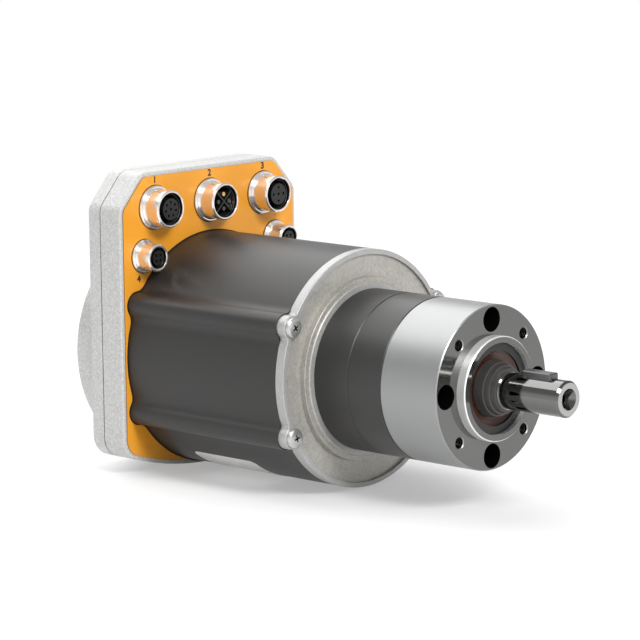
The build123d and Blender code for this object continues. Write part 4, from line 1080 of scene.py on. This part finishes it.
def make_world(settings):
    """Even room light; white where it is seen, and dim overhead where metal mirrors it."""
    world = bpy.data.worlds.new("studio")
    bpy.context.scene.world = world
    world.use_nodes = True
    nodes, links = world.node_tree.nodes, world.node_tree.links
    nodes.clear()
    rays = nodes.new("ShaderNodeLightPath")
    direction = nodes.new("ShaderNodeTexCoord")
    height = part_of(nodes, links, direction.outputs["Generated"], "Z")
    ceiling = ranged(nodes, links, height, (CEILING_START, CEILING_FULL),
                     (1.0, settings.ceiling_strength), smooth=True)
    mirror = mirror_share(nodes, links, rays)
    mirrored = mixed(nodes, links, mirror, settings.world_strength, ceiling)
    seen = mixed(nodes, links, rays.outputs["Is Camera Ray"], mirrored, 1.0)
    room = nodes.new("ShaderNodeBackground")
    room.inputs["Color"].default_value = (1, 1, 1, 1)
    links.new(seen, room.inputs["Strength"])
    output = nodes.new("ShaderNodeOutputWorld")
    links.new(room.outputs["Background"], output.inputs["Surface"])


def make_camera(settings):
    """Camera at the photograph's angle."""
    turn, rise = settings.azimuth, settings.elevation
    back = Vector((math.sin(turn) * math.cos(rise), -math.cos(turn) * math.cos(rise), math.sin(rise)))
    level = Vector((math.cos(turn), math.sin(turn), 0))
    upright = back.cross(level)
    right = level * math.cos(settings.roll) + upright * math.sin(settings.roll)
    up = upright * math.cos(settings.roll) - level * math.sin(settings.roll)
    home = right * settings.across + up * settings.upward + back * settings.distance
    bpy.ops.object.camera_add(location=home)
    camera = bpy.context.object
    camera.name = "camera"
    camera.matrix_world = Matrix.Translation(home) @ Matrix((right, up, back)).transposed().to_4x4()
    camera.data.sensor_width = SENSOR_WIDTH
    camera.data.lens = settings.focal_pixels / IMAGE_SIDE * SENSOR_WIDTH
    camera.data.clip_end = CLIP_END
    bpy.context.scene.camera = camera


class MOTOR_OT_build_stage(bpy.types.Operator):
    """Build the floor, the room, the lamps and the camera"""

    bl_idname = "motor.build_stage"
    bl_label = "Build stage"

    def execute(self, context):
        settings = context.scene.motor_stage
        make_floor(settings)
        make_world(settings)
        lamp("key_lamp", KEY_LAMP, settings.key_power)
        lamp("front_lamp", FRONT_LAMP, settings.front_power)
        make_camera(settings)
        context.scene.view_settings.view_transform = "Standard"
        return {"FINISHED"}


STEPS = (
    MOTOR_OT_finish_gearbox, MOTOR_OT_finish_shaft, MOTOR_OT_finish_motor,
    MOTOR_OT_finish_controller, MOTOR_OT_finish_sockets, MOTOR_OT_finish_inside,
    MOTOR_OT_add_shaft_thread, MOTOR_OT_add_flange_threads, MOTOR_OT_add_flange_screws,
    MOTOR_OT_add_socket_threads, MOTOR_OT_add_socket_seals, MOTOR_OT_add_socket_numbers,
    MOTOR_OT_build_stage,
)

GROUPS = {
    "motor_finishes": FinishSettings, "motor_pieces": PieceSettings, "motor_stage": StageSettings,
}


class MOTOR_PT_panel(bpy.types.Panel):
    """Sidebar panel with all the steps."""

    bl_idname = "MOTOR_PT_panel"
    bl_label = "Motor Unit"
    bl_space_type = "VIEW_3D"
    bl_region_type = "UI"
    bl_category = "Motor Unit"

    def draw(self, context):
        layout = self.layout
        for step in STEPS:
            layout.operator(step.bl_idname)
        for name in GROUPS:
            group = getattr(context.scene, name)
            column = layout.column()
            for value in group.__annotations__:
                column.prop(group, value)


def register():
    for name, group in GROUPS.items():
        bpy.utils.register_class(group)
        setattr(bpy.types.Scene, name, bpy.props.PointerProperty(type=group))
    for step in (*STEPS, MOTOR_PT_panel):
        bpy.utils.register_class(step)


def unregister():
    for step in reversed((*STEPS, MOTOR_PT_panel)):
        bpy.utils.unregister_class(step)
    for name, group in GROUPS.items():
        delattr(bpy.types.Scene, name)
        bpy.utils.unregister_class(group)


def main():
    register()
    for step in STEPS:
        group, name = step.bl_idname.split(".")
        getattr(getattr(bpy.ops, group), name)()


if __name__ == "__main__":
    main()
